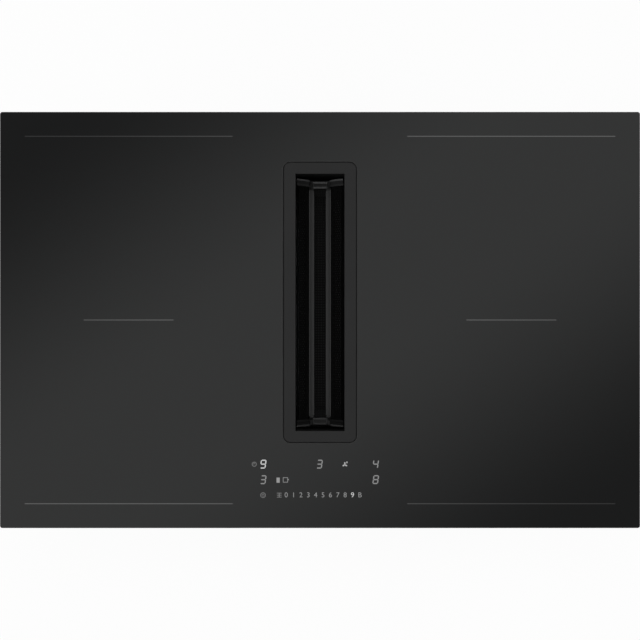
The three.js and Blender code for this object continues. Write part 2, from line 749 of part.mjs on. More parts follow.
function terminalBox() {
  const { x, y, depth, wall } = TERMINAL;
  const [top, bottom] = [PAN_UNDER - GAP, PAN_UNDER - GAP - depth];
  const outer = block(x, y, [bottom, top]);
  const inside = block([x[0] + wall, x[1] - wall], [y[0] + wall, y[1] - wall], [
    bottom - 1,
    top - wall,
  ]);
  const entry = disc(7.3, [-wall - 1, 1], 0, 0, 12).rotate([0, 90, 0]);
  const leadHole = block([-262, -222], [176, 194], [top - wall - 1, top + 1]);
  const entryAt = entry.translate([x[0] + wall, 185, bottom + 12]);
  return cut(outer, inside, entryAt, leadHole);
}

function terminalBlock() {
  const top = PAN_UNDER - 2 * GAP - TERMINAL.wall;
  const body = block([-216, -196], [160, 210], [top - 14, top]);
  const wells = row(block([-210, -202], [164, 169], [top - 15, top - 6]), 5, [0, 9]);
  return cut(body, wells);
}

function terminalLid() {
  const { x, y, depth, lid } = TERMINAL;
  const top = PAN_UNDER - 2 * GAP - depth;
  return block([x[0] - 1, x[1] + 1], [y[0] - 1, y[1] + 1], [top - lid, top]);
}

/** The gland that grips the mains lead, its nut outside the box. */
function cableGland() {
  const [bore, thread, nut] = [4.5, 7, 10.5];
  const profile = [
    [bore, 0],
    [bore + 2.2, 0],
    [nut - 2, 4],
    [nut, 5],
    [nut, 14],
    [thread, 14],
    [thread, 21],
    [bore, 21],
    [bore, 0],
  ];
  const axis = turned(profile, 12).rotate([0, 90, 0]);
  return axis.translate([TERMINAL.x[0] - 14 - GAP, 185, PAN_UNDER - GAP - TERMINAL.depth + 12]);
}

// ---------------------------------------------------------------- fan box

const boxWidth = FAN_BOX.right - FAN_BOX.left;
const boxDepth = FAN_BOX.rear - FAN_BOX.front;
const boxX = (FAN_BOX.left + FAN_BOX.right) / 2;
const boxY = (FAN_BOX.front + FAN_BOX.rear) / 2;
const boxOutline = (grow) =>
  roundedRect(boxWidth + 2 * grow, boxDepth + 2 * grow, FAN_BOX.corner + grow, boxX, boxY);
const WELL = { x: -9, width: 78, length: 300, corner: 6 }; // opening over the condensate tray

/** Upright stiffening ribs on the front and the two sides of the lower shell. */
function boxRibs() {
  const { left, right, front, split } = FAN_BOX;
  const [proud, half, levels] = [3, 1.2, [2, split - 1]];
  const frontRib = block([-half, half], [front - proud, front + 1], levels);
  const sideRib = block([left - proud, left + 1], [-half, half], levels);
  const farRib = block([right - 1, right + proud], [-half, half], levels);
  return join(
    row(frontRib.translate([-30, 0, 0]), 5, [65, 0]),
    row(sideRib.translate([0, -120, 0]), 5, [0, 75]),
    row(farRib.translate([0, -120, 0]), 5, [0, 75]),
  );
}

/** Guides under the floor for one catch: a pair of hooks that open towards each other. */
function catchGuides(y0, y1) {
  const guide = [];
  for (const side of [-1, 1]) {
    const post = [WELL.x + side * 25.6, WELL.x + side * 28.6].sort((a, b) => a - b);
    const hook = [WELL.x + side * 22.6, WELL.x + side * 28.6].sort((a, b) => a - b);
    guide.push(block(post, [y0, y1], [0.8, BOX_FLOOR + 1]));
    guide.push(block(hook, [y0, y1], [0.8, 2]));
  }
  return join(...guide);
}

function fanBoxLower() {
  const { wall, split, rear } = FAN_BOX;
  const outer = join(plate(boxOutline(0), [0, split]), plate(boxOutline(8), [split - 3, split]));
  const { width, height, floor, x } = DUCT;
  const duct = block(
    [x - width / 2 - GAP, x + width / 2 + GAP],
    [rear - 10, rear + 10],
    [floor - GAP, floor + height + GAP],
  );
  const shell = cut(
    outer,
    plate(boxOutline(-wall), [BOX_FLOOR + wall, split + 1]),
    plate(boxOutline(-wall), [-1, BOX_FLOOR]),
    plate(roundedRect(WELL.width, WELL.length, WELL.corner, WELL.x, VENT.y), [0, 20]),
    duct,
  );
  const guides = [catchGuides(-161, -141), catchGuides(185, 207)];
  return join(shell, boxRibs(), ...guides);
}

function fanBoxCover() {
  const { wall, split } = FAN_BOX;
  const base = split + GAP;
  const mouth = [SHAFT.width + 2 * (SHAFT.wall + GAP), SHAFT.length + 2 * (SHAFT.wall + GAP)];
  const outer = join(plate(boxOutline(0), [base, BOX_TOP]), plate(boxOutline(8), [base, base + 3]));
  const shell = cut(
    outer,
    plate(boxOutline(-wall), [base - 1, BOX_TOP - wall]),
    plate(roundedRect(...mouth, SHAFT.corner + SHAFT.wall, 0, VENT.y), [base, BOX_TOP + 1]),
  );
  const bosses = [];
  for (const x of [FAN_BOX.left + 12, FAN_BOX.right - 12]) {
    for (const y of [FAN_BOX.front + 12, FAN_BOX.rear - 12]) {
      bosses.push(disc(7, [BOX_TOP - 1, PAN_UNDER - GAP], x, y, 10));
    }
  }
  return join(shell, ...bosses);
}

/** The tray under the fan box that catches what runs down the shaft. */
function condensateTray() {
  const [x, y, brim, wall, height] = [WELL.x, VENT.y, 10, 2, 25];
  const base = BOX_FLOOR - GAP - 2.5;
  const [width, length] = [WELL.width - 0.6, WELL.length - 0.6];
  const flange = roundedRect(width + 2 * brim, length + 2 * brim, WELL.corner + brim, x, y);
  const body = join(
    plate(flange, [base, base + 2.5]),
    plate(roundedRect(width, length, WELL.corner, x, y), [base, base + height]),
  );
  const insideSize = [width - 2 * wall, length - 2 * wall, WELL.corner - wall];
  const inside = plate(roundedRect(...insideSize, x, y), [base + wall, base + height + 1]);
  const rib = block([x - 1.2, x + 1.2], [y - 110, y + 110], [base - 2, base + 1]);
  return join(cut(body, inside), row(rib.translate([-24, 0, 0]), 3, [24, 0]));
}

/** A sliding catch: its tongue reaches under the edge of the condensate tray. */
function trayCatch() {
  const [low, high, half] = [2.4, BOX_FLOOR - GAP, 25];
  const body = block([-half, half], [0, 15], [low, high]);
  const tongue = block([-16, 16], [-6.5, 1], [low, low + 2.5]);
  const grip = row(block([-14, 14], [3, 4.6], [low - 1.5, low + 1]), 3, [0, 4]);
  return join(body, tongue, grip);
}

function addCatches() {
  const edge = WELL.length / 2 + 10 + 0.2;
  const front = add("tray_catch_front", trayCatch(), GREY_PLASTIC);
  front.position.set(WELL.x, VENT.y - edge, 0);
  front.rotation.z = Math.PI;
  const rear = add("tray_catch_rear", trayCatch(), GREY_PLASTIC);
  rear.position.set(WELL.x, VENT.y + edge, 0);
}

/** The flat duct's spigot on the rear of the fan box. */
function outletSpigot() {
  const { width, height, floor, x, wall, end } = DUCT;
  const section = (grow, [y0, y1]) => {
    const outline = roundedRect(width + 2 * grow, height + 2 * grow, 6 + grow, x, 0);
    const lying = plate(outline, [y0, y1]);
    return lying.rotate([90, 0, 0]).translate([0, y0 + y1, floor + height / 2]);
  };
  const [inner, brim] = [FAN_BOX.rear - FAN_BOX.wall, FAN_BOX.rear + GAP];
  const body = join(section(0, [inner, end]), section(6, [brim, brim + 3]));
  return cut(body, section(-wall, [inner - 1, end + 1]));
}

// ---------------------------------------------------------------- blower

const SCROLL_TOP = SCROLL.floor + SCROLL.height;
const SCROLL_REAR = FAN_BOX.rear - FAN_BOX.wall - GAP;

/** The scroll's outline: a growing spiral that opens into a wide way out at the rear.
 *  The tongue is where the spiral's first turn meets the left wall of the way out. An offset
 *  moves every wall outwards, and the tongue with them. */
function scrollOutline(offset, rear) {
  const centre = new THREE.Vector2(BLOWER.x, BLOWER.y);
  const [left, right] = [-1, 1].map((side) => DUCT.x + side * (DUCT.width / 2 - DUCT.wall));
  const corner = new THREE.Vector2(left, SCROLL_REAR);
  const tongue = polar(SCROLL.start, THREE.MathUtils.degToRad(SCROLL.tongue)).add(centre);
  const wallLine = new THREE.Vector2().subVectors(tongue, corner).normalize();
  const normal = new THREE.Vector2(-wallLine.y, wallLine.x);
  const distance = new THREE.Vector2().subVectors(corner, centre).dot(normal) - offset;
  const radius = SCROLL.start + offset;
  const tip = normal.multiplyScalar(distance);
  tip.addScaledVector(wallLine, -Math.sqrt(radius ** 2 - distance ** 2));
  const points = [];
  for (let i = 0; i <= SCROLL.steps; i++) {
    const share = i / SCROLL.steps;
    const angle = THREE.MathUtils.lerp(tip.angle(), 2 * Math.PI, share);
    points.push(polar(radius + SCROLL.growth * share, angle).add(centre).toArray());
  }
  points.push([right + offset, rear], [left - offset, rear]);
  return outlineOf(points);
}

function scrollHousing() {
  const { wall, floor } = SCROLL;
  const { x, y, eye } = BLOWER;
  const shell = cut(
    plate(scrollOutline(wall, SCROLL_REAR), [floor, SCROLL_TOP]),
    plate(scrollOutline(0, SCROLL_REAR + 5), [floor + wall, SCROLL_TOP + 1]),
    disc(eye, [floor - 1, floor + wall + 1], x, y, 28),
  );
  const bell = [
    [eye, floor - 5],
    [eye + 2, floor - 5],
    [eye + 7, floor + 1],
    [eye, floor + 1],
    [eye, floor - 5],
  ];
  const legs = [55, 140, 220, 305].map((degrees) => {
    const at = polar(BLOWER.radius, THREE.MathUtils.degToRad(degrees));
    return disc(5, [BOX_FLOOR + FAN_BOX.wall + GAP, floor + 1], x + at.x, y + at.y, 8);
  });
  return join(shell, turned(bell, 28, x, y), ...legs);
}

const LID = [SCROLL_TOP + GAP, SCROLL_TOP + GAP + 2.5];

function scrollLid() {
  const { x, y } = BLOWER;
  const sheet = plate(scrollOutline(SCROLL.wall, SCROLL_REAR), LID);
  const hub = disc(56, [LID[0], LID[1] + 1.5], x, y, 20);
  return cut(join(sheet, hub), disc(40.5, [LID[0] - 1, LID[1] + 5], x, y, 20));
}

/** The motor's fixed half: a flange on the lid, with the windings reaching down into the hub. */
function fanMotor() {
  const base = LID[1] + 1.5 + GAP;
  const profile = [
    [4.3, 70],
    [36, 70],
    [38, 72],
    [38, base],
    [50, base],
    [50, base + 3],
    [32, base + 3],
    [30, base + 11],
    [4.3, base + 11],
    [4.3, 70],
  ];
  return turned(profile, 18, BLOWER.x, BLOWER.y);
}

/** One forward-curved blade, seen along the axis, as a closed outline. */
function bladeOutline() {
  const { radius, bladeDepth, lean } = BLOWER;
  const [steps, half] = [2, 0.8];
  const centreLine = [];
  for (let i = 0; i <= steps; i++) {
    const share = i / steps;
    const angle = THREE.MathUtils.degToRad(lean) * share ** 1.7;
    centreLine.push(polar(radius - bladeDepth * (1 - share), angle));
  }
  const curve = new THREE.SplineCurve(centreLine);
  const sideOf = (hand) =>
    centreLine.map((point, i) => {
      const tangent = curve.getTangent(i / steps);
      return [point.x - hand * half * tangent.y, point.y + hand * half * tangent.x];
    });
  return outlineOf([...sideOf(-1), ...sideOf(1).reverse()]);
}

/** The drum-shaped impeller: blades between a shroud ring below and the hub's plate above. */
function impeller() {
  const { radius, blades, bladeDepth, x, y } = BLOWER;
  const [low, high, inner] = [40, 101, radius - bladeDepth];
  const hub = [
    [4.3, 57],
    [10, 57],
    [10, 64],
    [42.5, 64],
    [42.5, high - 2.5],
    [radius + 1, high - 2.5],
    [radius + 1, high],
    [40, high],
    [40, 67],
    [4.3, 67],
    [4.3, 57],
  ];
  const shroud = [
    [inner - 1, low],
    [radius + 1, low],
    [radius + 1, low + 2],
    [inner - 1, low + 2],
    [inner - 1, low],
  ];
  const blade = plate(bladeOutline(), [low + 1, high - 1.5]);
  const fan = [turned(hub, 28), turned(shroud, 28)];
  for (let i = 0; i < blades; i++) fan.push(blade.rotate([0, 0, (i * 360) / blades]));
  return join(...fan).translate([x, y, 0]);
}

function motorShaft() {
  return disc(4, [55, LID[1] + 1.5 + GAP + 12], BLOWER.x, BLOWER.y, 12);
}

// ---------------------------------------------------------------- assembly

add("glass_panel", glassPanel(), BLACK_GLASS);
add("worktop_seal", worktopSeal(), FOAM);
add("support_frame", supportFrame(), BLACK_PLASTIC);
add("base_pan", basePan(), ZINC_STEEL);

for (const [side, hand] of [
  [-1, "left"],
  [1, "right"],
]) {
  for (const [y, place] of [
    [-150, "front"],
    [150, "rear"],
  ]) {
    const spring = add(`fixing_spring_${place}_${hand}`, fixingSpring(), SPRING_STEEL);
    spring.position.y = y;
    if (side < 0) spring.rotation.z = Math.PI;
  }
}

add("inlet_shaft", inletShaft(), BLACK_PLASTIC);
add("vent_gasket", ventGasket(), FOAM);
add("shaft_gasket", shaftGasket(), FOAM);
add("cover_frame", coverFrame(), SATIN_BLACK);
add("filter_frame", filterFrame(), SATIN_BLACK);
add("filter_mesh_keel", keelMesh(), SATIN_BLACK);
addSideMeshes(cooktop);
add("overflow_tray", overflowTray(), BLACK_PLASTIC);

addCoils();
addPowerStages();
add("mains_filter_board", filterBoard(), BOARD_GREEN);
add("control_board", controlBoard(), BOARD_GREEN);
add("touch_carrier", touchCarrier(), BLACK_PLASTIC);
add("terminal_box", terminalBox(), BLACK_PLASTIC);
add("terminal_block", terminalBlock(), WHITE_PLASTIC);
add("terminal_box_lid", terminalLid(), BLACK_PLASTIC);
add("cable_gland", cableGland(), BLACK_PLASTIC);

add("fan_box_lower", fanBoxLower(), BLACK_PLASTIC);
add("fan_box_cover", fanBoxCover(), BLACK_PLASTIC);
add("condensate_tray", condensateTray(), GREY_PLASTIC);
addCatches();
add("outlet_spigot", outletSpigot(), BLACK_PLASTIC);
add("scroll_housing", scrollHousing(), GREY_PLASTIC);
add("scroll_lid", scrollLid(), ZINC_STEEL);
add("fan_motor", fanMotor(), ALUMINIUM);
add("impeller", impeller(), GREY_PLASTIC);
add("motor_shaft", motorShaft(), SPRING_STEEL);

export default cooktop;
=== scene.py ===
"""A downdraft induction cooktop: black glass with a slot-shaped extractor, seen from straight above."""

import math

import bmesh
import bpy
from mathutils import Matrix, Vector


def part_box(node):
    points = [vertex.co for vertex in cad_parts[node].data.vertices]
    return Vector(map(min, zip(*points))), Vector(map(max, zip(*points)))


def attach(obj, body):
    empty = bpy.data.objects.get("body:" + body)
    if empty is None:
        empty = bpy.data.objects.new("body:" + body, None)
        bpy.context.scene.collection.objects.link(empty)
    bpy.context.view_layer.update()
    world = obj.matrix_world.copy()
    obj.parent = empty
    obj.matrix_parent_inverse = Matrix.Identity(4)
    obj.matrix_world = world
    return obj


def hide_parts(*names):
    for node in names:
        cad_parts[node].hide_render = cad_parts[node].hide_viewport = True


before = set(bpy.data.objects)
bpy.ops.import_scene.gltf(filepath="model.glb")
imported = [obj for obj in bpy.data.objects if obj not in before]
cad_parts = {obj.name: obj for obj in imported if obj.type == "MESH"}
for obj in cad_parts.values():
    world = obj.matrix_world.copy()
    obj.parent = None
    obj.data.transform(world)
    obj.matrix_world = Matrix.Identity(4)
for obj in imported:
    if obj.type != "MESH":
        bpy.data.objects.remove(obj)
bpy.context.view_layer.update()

# ---------------------------------------------------------------- the view from above
# The glass fills the width of the picture. The camera hangs over its middle and looks straight
# down, close enough that the inside of the mouth runs in towards the middle of the picture.

GLASS_LOW, GLASS_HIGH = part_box("glass_panel")
GLASS_TOP = GLASS_HIGH.z
VIEW_DISTANCE = 1.2
FACET_DEPTH = 0.0012  # the glass is widest this far below its face, under the facet
SENSOR_WIDTH = 36.0

camera = bpy.data.objects.new("camera", bpy.data.cameras.new("camera"))
camera.data.sensor_width = SENSOR_WIDTH
camera.data.lens = SENSOR_WIDTH * (VIEW_DISTANCE + FACET_DEPTH) / (GLASS_HIGH.x - GLASS_LOW.x)
camera.location = (0, 0, GLASS_TOP + VIEW_DISTANCE)
bpy.context.scene.collection.objects.link(camera)
bpy.context.scene.camera = camera
bpy.context.scene.view_settings.view_transform = "Standard"

# ---------------------------------------------------------------- the studio
# A white room with a long soft light panel overhead that runs from front left to rear right.
# The glass mirrors it as a pale band between two dark corners. The lamps fill in from above,
# from the sides and from under the floor.


class Value:
    """A socket of a shader tree. Python operators on it add Math nodes."""

    def __init__(self, tree, socket=None):
        self.tree = tree
        self.socket = socket

    def node(self, kind, settings=None, inputs=None, output=0):
        """Adds any node: its settings first, then the values or links of its sockets."""
        made = self.tree.nodes.new(kind)
        for name, value in (settings or {}).items():
            setattr(made, name, value)
        for name, value in (inputs or {}).items():
            if isinstance(value, Value):
                self.tree.links.new(value.socket, made.inputs[name])
            else:
                made.inputs[name].default_value = value
        return Value(self.tree, made.outputs[output] if made.outputs else None)

    def maths(self, operation, *operands):
        return self.node("ShaderNodeMath", {"operation": operation}, dict(enumerate(operands)))

    def __add__(self, other):
        return self.maths("ADD", self, other)

    __radd__ = __add__

    def __sub__(self, other):
        return self.maths("SUBTRACT", self, other)

    def __rsub__(self, other):
        return self.maths("SUBTRACT", other, self)

    def __mul__(self, other):
        return self.maths("MULTIPLY", self, other)

    __rmul__ = __mul__

    def __truediv__(self, other):
        return self.maths("DIVIDE", self, other)

    def __abs__(self):
        return self.maths("ABSOLUTE", self)

    def __gt__(self, other):
        return self.maths("GREATER_THAN", self, other)

    def axes(self):
        """The three parts of a vector."""
        split = self.node("ShaderNodeSeparateXYZ", None, {0: self})
        return [Value(self.tree, s) for s in split.socket.node.outputs]

    def between(self, low, high):
        """0 below low, 1 above high, and a soft step between them."""
        ramp = {"interpolation_type": "SMOOTHSTEP"}
        ends = {"Value": self, "From Min": low, "From Max": high}
        return self.node("ShaderNodeMapRange", ramp, ends)

    def blend(self, first, second):
        """A colour between two colours, with this value as the share of the second."""
        mixed = {0: self, 6: first, 7: second}
        return self.node("ShaderNodeMix", {"data_type": "RGBA"}, mixed, 2)


WHITE = (1, 1, 1, 1)
PANEL_SLOPE = math.radians(35.4)  # the light panel's direction, seen from above
PANEL_NEAR, PANEL_FAR = 0.05, 0.33  # where its light starts and ends to fade, as a tangent
PANEL_LIGHT, CEILING_LIGHT = 0.76, 0.18
HORIZON_LOW, HORIZON_HIGH = 0.2, 0.42  # the white walls end here, as a sine above the horizon
LEAST_HEIGHT = 0.02  # keeps the division by the height finite near the horizon

world = bpy.data.worlds.new("white_room")
world.use_nodes = True
world.node_tree.nodes.clear()
bpy.context.scene.world = world
room = Value(world.node_tree)
direction = room.node("ShaderNodeTexCoord", None, None, "Generated")
east, north, up = direction.axes()
overhead = up.maths("MAXIMUM", up, LEAST_HEIGHT)
across = abs((north * math.cos(PANEL_SLOPE) - east * math.sin(PANEL_SLOPE)) / overhead)
ceiling = across.between(PANEL_NEAR, PANEL_FAR).blend(
    (PANEL_LIGHT * 0.99, PANEL_LIGHT, PANEL_LIGHT * 0.99, 1),
    (CEILING_LIGHT, CEILING_LIGHT, CEILING_LIGHT, 1),
)
sky = up.between(HORIZON_LOW, HORIZON_HIGH).blend(WHITE, ceiling)
glow = room.node("ShaderNodeBackground", None, {"Color": sky, "Strength": 1.0})
room.node("ShaderNodeOutputWorld", None, {"Surface": glow})

LAMP_AIM = Vector((0, 0, 0.1))


def lamp(name, place, size, power):
    """A square soft lamp that lights the object but isn't mirrored in it."""
    light = bpy.data.objects.new(name, bpy.data.lights.new(name, "AREA"))
    light.data.size = size
    light.data.energy = power
    light.location = place
    light.rotation_euler = (Vector(place) - LAMP_AIM).to_track_quat("Z", "Y").to_euler()
    light.visible_glossy = False
    light.visible_camera = False
    bpy.context.scene.collection.objects.link(light)


lamp("lamp_overhead", (-0.2, 0.3, 2.6), 2.2, 34)
lamp("lamp_front_left", (-2.0, -2.2, 1.3), 1.4, 22)
lamp("lamp_rear_right", (2.2, 1.9, 1.2), 1.4, 22)
lamp("lamp_below", (0, 0, -1.6), 2.5, 34)

HALF_FLOOR = 30.0
quarters = ((-1, -1), (1, -1), (1, 1), (-1, 1))
floor_mesh = bpy.data.meshes.new("floor")
floor_corners = [(x * HALF_FLOOR, y * HALF_FLOOR, 0) for x, y in quarters]
floor_mesh.from_pydata(floor_corners, [], [(0, 1, 2, 3)])
floor = bpy.data.objects.new("floor", floor_mesh)
bpy.context.scene.collection.objects.link(floor)

floor_paint = bpy.data.materials.new("white_floor")
floor_paint.use_nodes = True
floor_paint.node_tree.nodes.clear()
ground = Value(floor_paint.node_tree)
seen_by_camera, in_shadow_ray, in_mirror, through_glass = (
    ground.node("ShaderNodeLightPath", None, None, ray)
    for ray in ("Is Camera Ray", "Is Shadow Ray", "Is Glossy Ray", "Is Transmission Ray")
)
SHADOW_SHARE = 0.07  # how much of the floor's brightness takes part in shadows
plain = ground.node("ShaderNodeBsdfDiffuse", None, {"Color": (0.86, 0.86, 0.86, 1)})
pure = ground.node("ShaderNodeEmission", None, {"Color": WHITE, "Strength": 1.0})
clear = ground.node("ShaderNodeBsdfTransparent")
pure_share = seen_by_camera.maths("MINIMUM", seen_by_camera + in_mirror + through_glass, 1.0)
bright_share = pure_share * (1 - SHADOW_SHARE)
bright = ground.node("ShaderNodeMixShader", None, {0: bright_share, 1: plain, 2: pure})
from_below = ground.node("ShaderNodeNewGeometry", None, None, "Backfacing")
open_share = from_below.maths("MAXIMUM", from_below, in_shadow_ray)
shown = ground.node("ShaderNodeMixShader", None, {0: open_share, 1: bright, 2: clear})
ground.node("ShaderNodeOutputMaterial", None, {"Surface": shown})
floor_mesh.materials.append(floor_paint)

# ---------------------------------------------------------------- glass panel
# One sheet of black glass-ceramic, 4 mm thick. Its face is fire-polished, and its edge is ground
# to a fine matt facet all round, as is the edge of the hole for the extractor.


def new_material(name):
    """A material with an empty shader tree, and the place on the object that its nodes start from."""
    made = bpy.data.materials.new(name)
    made.use_nodes = True
    made.node_tree.nodes.clear()
    tree = Value(made.node_tree)
    return made, tree, tree.node("ShaderNodeTexCoord", None, None, "Object")


def noise(place, scale, detail=2.0):
    """Soft random patches over a surface."""
    return place.node("ShaderNodeTexNoise", None, {"Vector": place, "Scale": scale, "Detail": detail})


def bump(height, strength, distance):
    """A relief too fine for the mesh."""
    sockets = {"Strength": strength, "Distance": distance, "Height": height}
    return height.node("ShaderNodeBump", None, sockets)


SAME_POINT = 2e-6
SAME_PLANE, ROUNDED_EDGE, HARD_EDGE = (math.radians(a) for a in (0.5, 32, 40))


def dress(node, coat, bevel=0.0, segments=2, flat=False):
    """Gives a CAD node its material and rounds its edges. Flat joins its facets to whole faces."""
    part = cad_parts[node]
    part.data.materials.clear()
    part.data.materials.append(coat)
    part.data.shade_smooth()
    part.modifiers.new("weld", "WELD").merge_threshold = SAME_POINT
    if flat:
        facets = part.modifiers.new("facets", "DECIMATE")
        facets.decimate_type = "DISSOLVE"
        facets.angle_limit = SAME_PLANE
    if bevel:
        rounding = part.modifiers.new("rounding", "BEVEL")
        rounding.width = bevel
        rounding.segments = segments
        rounding.angle_limit = ROUNDED_EDGE
        rounding.miter_outer = "MITER_ARC"
    corners = part.modifiers.new("corners", "EDGE_SPLIT")
    corners.split_angle = HARD_EDGE
    corners.use_edge_sharp = False
    normals = part.modifiers.new("normals", "WEIGHTED_NORMAL")
    normals.keep_sharp = False


FACET_NORMAL, FACE_NORMAL = 0.9, 0.98  # a normal's height: facets lie below, the face above
INNER_EDGE = 0.1  # closer to the middle than this, an edge is the hole's

black_glass, glass, glass_place = new_material("black_glass")
glass_normal = glass.node("ShaderNodeNewGeometry", None, None, "Normal")
facing_up = abs(glass_normal.axes()[2]).between(FACET_NORMAL, FACE_NORMAL)
ripple = noise(glass_place, 14.0, 1.0)
smears = noise(glass_place, 5.0, 3.0)
polished = glass.node("ShaderNodeBsdfPrincipled", None, {
    "Base Color": smears.blend((0.0042, 0.0045, 0.0046, 1), (0.005, 0.0052, 0.0053, 1)),
    "Roughness": 0.035 + 0.02 * smears,
    "Normal": bump(ripple, 0.04, 0.0002),
})
glass_x, _, glass_z = glass_place.axes()
# painted highlight: the ground facet at the top of the mouth is paler than the same facet at the outer
# edge
mouth_facet_highlight = (1 - (abs(glass_x) > INNER_EDGE)) * (glass_z > GLASS_TOP - FACET_DEPTH)
ground_edge = glass.node("ShaderNodeBsdfPrincipled", None, {
    "Base Color": mouth_facet_highlight.blend((0.003, 0.003, 0.003, 1), (0.042, 0.042, 0.042, 1)),
    "Roughness": 0.6,
    "Specular IOR Level": 0.08,
})
glass_finish = glass.node("ShaderNodeMixShader", None, {0: facing_up, 1: ground_edge, 2: polished})
glass.node("ShaderNodeOutputMaterial", None, {"Surface": glass_finish})
dress("glass_panel", black_glass, flat=True)

# ---------------------------------------------------------------- printed lines
# A thin metallic lustre print fired onto the glass. Two long lines bound each cooking field at
# the front and rear, and a short one marks its middle, between the two coils.

FIELD_LINE_REACH = (0.1088, 0.3688)  # from the middle of the glass outwards
MIDDLE_LINE_REACH = (0.1828, 0.2953)
FIELD_LINE_Y = 0.2294
LINE_WIDTH = 0.0011
PRINT_HEIGHT = 0.00003
LUSTRE_IOR = 2.2  # the print mirrors more than three times as much light as the bare glass


def surface(tree, sockets):
    """Ends a shader tree with one surface."""
    skin = tree.node("ShaderNodeBsdfPrincipled", None, sockets)
    tree.node("ShaderNodeOutputMaterial", None, {"Surface": skin})


def thicken(mesh, thickness):
    """Makes a closed body of a flat mesh."""
    raised = bmesh.ops.extrude_face_region(mesh, geom=mesh.faces[:], use_keep_orig=True)["geom"]
    top = [v for v in raised if isinstance(v, bmesh.types.BMVert)]
    bmesh.ops.translate(mesh, verts=top, vec=(0, 0, thickness))
    bmesh.ops.recalc_face_normals(mesh, faces=mesh.faces)
    return mesh


def slab(outlines, low, high):
    """A flat closed body, raised from low to high over outlines of (x, y) that share corners."""
    mesh = bmesh.new()
    corners = {}
    for outline in outlines:
        for x, y in outline:
            at = (round(x, 7), round(y, 7))
            corners[at] = corners.get(at) or mesh.verts.new((x, y, low))
        mesh.faces.new([corners[round(x, 7), round(y, 7)] for x, y in outline])
    return thicken(mesh, high - low)


def piece(name, bodies, coat, body):
    """Joins bmesh bodies to one object that rides on a CAD body."""
    whole = bmesh.new()
    for part in bodies:
        data = bpy.data.meshes.new(name)
        part.to_mesh(data)
        part.free()
        whole.from_mesh(data)
        bpy.data.meshes.remove(data)
    mesh = bpy.data.meshes.new(name)
    whole.to_mesh(mesh)
    whole.free()
    mesh.materials.append(coat)
    made = bpy.data.objects.new(name, mesh)
    bpy.context.scene.collection.objects.link(made)
    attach(made, body)
    return made


def rounded_bar(x0, x1, y, width):
    """The outline of a straight line with round ends, along X."""
    radius = width / 2
    turns = [math.radians(a) for a in range(-90, 91, 30)]
    right = [(x1 - radius + radius * math.cos(a), y + radius * math.sin(a)) for a in turns]
    left = [(x0 + radius - radius * math.cos(a), y - radius * math.sin(a)) for a in turns]
    return right + left


line_enamel, ink, ink_place = new_material("line_enamel")
ink_dots = noise(ink_place, 2500.0)
surface(ink, {
    "Base Color": ink_dots.blend((0.011, 0.011, 0.011, 1), (0.016, 0.016, 0.016, 1)),
    "Roughness": 0.06 + 0.03 * ink_dots,
    "IOR": LUSTRE_IOR,
})
printed = []
for side in (-1, 1):
    for reach, line_y in (
        (FIELD_LINE_REACH, FIELD_LINE_Y),
        (FIELD_LINE_REACH, -FIELD_LINE_Y),
        (MIDDLE_LINE_REACH, 0),
    ):
        ends = sorted(side * x for x in reach)
        outline = rounded_bar(*ends, line_y, LINE_WIDTH)
        printed.append(slab([outline], GLASS_TOP, GLASS_TOP + PRINT_HEIGHT))
piece("field_lines", printed, line_enamel, "hob")

# ---------------------------------------------------------------- level displays
# Slanted seven-segment figures of white light, which shine through the glass: one for each coil,
# and the middle one for the fan. The rear left one is the one being set, so it is brighter.

DIGIT_HEIGHT = 0.0097
DIGIT_WIDTH = 0.0058
DIGIT_STROKE = 0.0014
DIGIT_SLANT = math.tan(math.radians(8))
SEGMENTS = {3: "abgcd", 4: "fgbc", 8: "abcdefg", 9: "abcdfg"}
SEGMENT_GAP = 0.00012  # between a segment's end and the corner where segments meet
LIGHT_HEIGHT = 0.00002


def light_material(name, brightness):
    """The glass over a lamp: it shines a little unevenly and is as smooth as the rest."""
    made, tree, place = new_material(name)
    spread = noise(place, 700.0)
    dim, full = 0.85 * brightness, 1.05 * brightness
    surface(tree, {
        "Base Color": (0.01, 0.01, 0.01, 1),
        "Roughness": 0.1,
        "Emission Color": spread.blend((dim, dim, dim, 1), (full, full, full, 1)),
        "Emission Strength": 1.0,
    })
    return made


bright_light = light_material("bright_light", 0.6)
level_light = light_material("level_light", 0.25)


def figure(digit, x, y):
    """The lit segments of one figure, as bodies."""
    half_w, half_h = DIGIT_WIDTH / 2, DIGIT_HEIGHT / 2
    ends = {
        "a": ((-half_w, half_h), (half_w, half_h)),
        "g": ((-half_w, 0), (half_w, 0)),
        "d": ((-half_w, -half_h), (half_w, -half_h)),
        "f": ((-half_w, half_h), (-half_w, 0)),
        "b": ((half_w, half_h), (half_w, 0)),
        "e": ((-half_w, 0), (-half_w, -half_h)),
        "c": ((half_w, 0), (half_w, -half_h)),
    }
    bodies = []
    for segment in SEGMENTS[digit]:
        start, stop = Vector(ends[segment][0]), Vector(ends[segment][1])
        along = (stop - start).normalized()
        start, stop = start + along * SEGMENT_GAP, stop - along * SEGMENT_GAP
        side = Vector((-along.y, along.x)) * DIGIT_STROKE / 2
        tip = along * DIGIT_STROKE / 2
        far_edge = [start, start + tip + side, stop - tip + side]
        near_edge = [stop, stop - tip - side, start + tip - side]
        slanted = [(x + p.x + p.y * DIGIT_SLANT, y + p.y) for p in far_edge + near_edge]
        bodies.append(slab([slanted], GLASS_TOP, GLASS_TOP + LIGHT_HEIGHT))
    return bodies


for name, digit, x, y, light in (
    ("level_rear_left", 9, -0.0709, -0.1800, bright_light),
    ("level_fan", 3, -0.0006, -0.1800, level_light),
    ("level_rear_right", 4, 0.0695, -0.1800, level_light),
    ("level_front_left", 3, -0.0709, -0.1994, level_light),
    ("level_front_right", 8, 0.0696, -0.1993, level_light),
):
    piece(name, figure(digit, x, y), light, "hob")

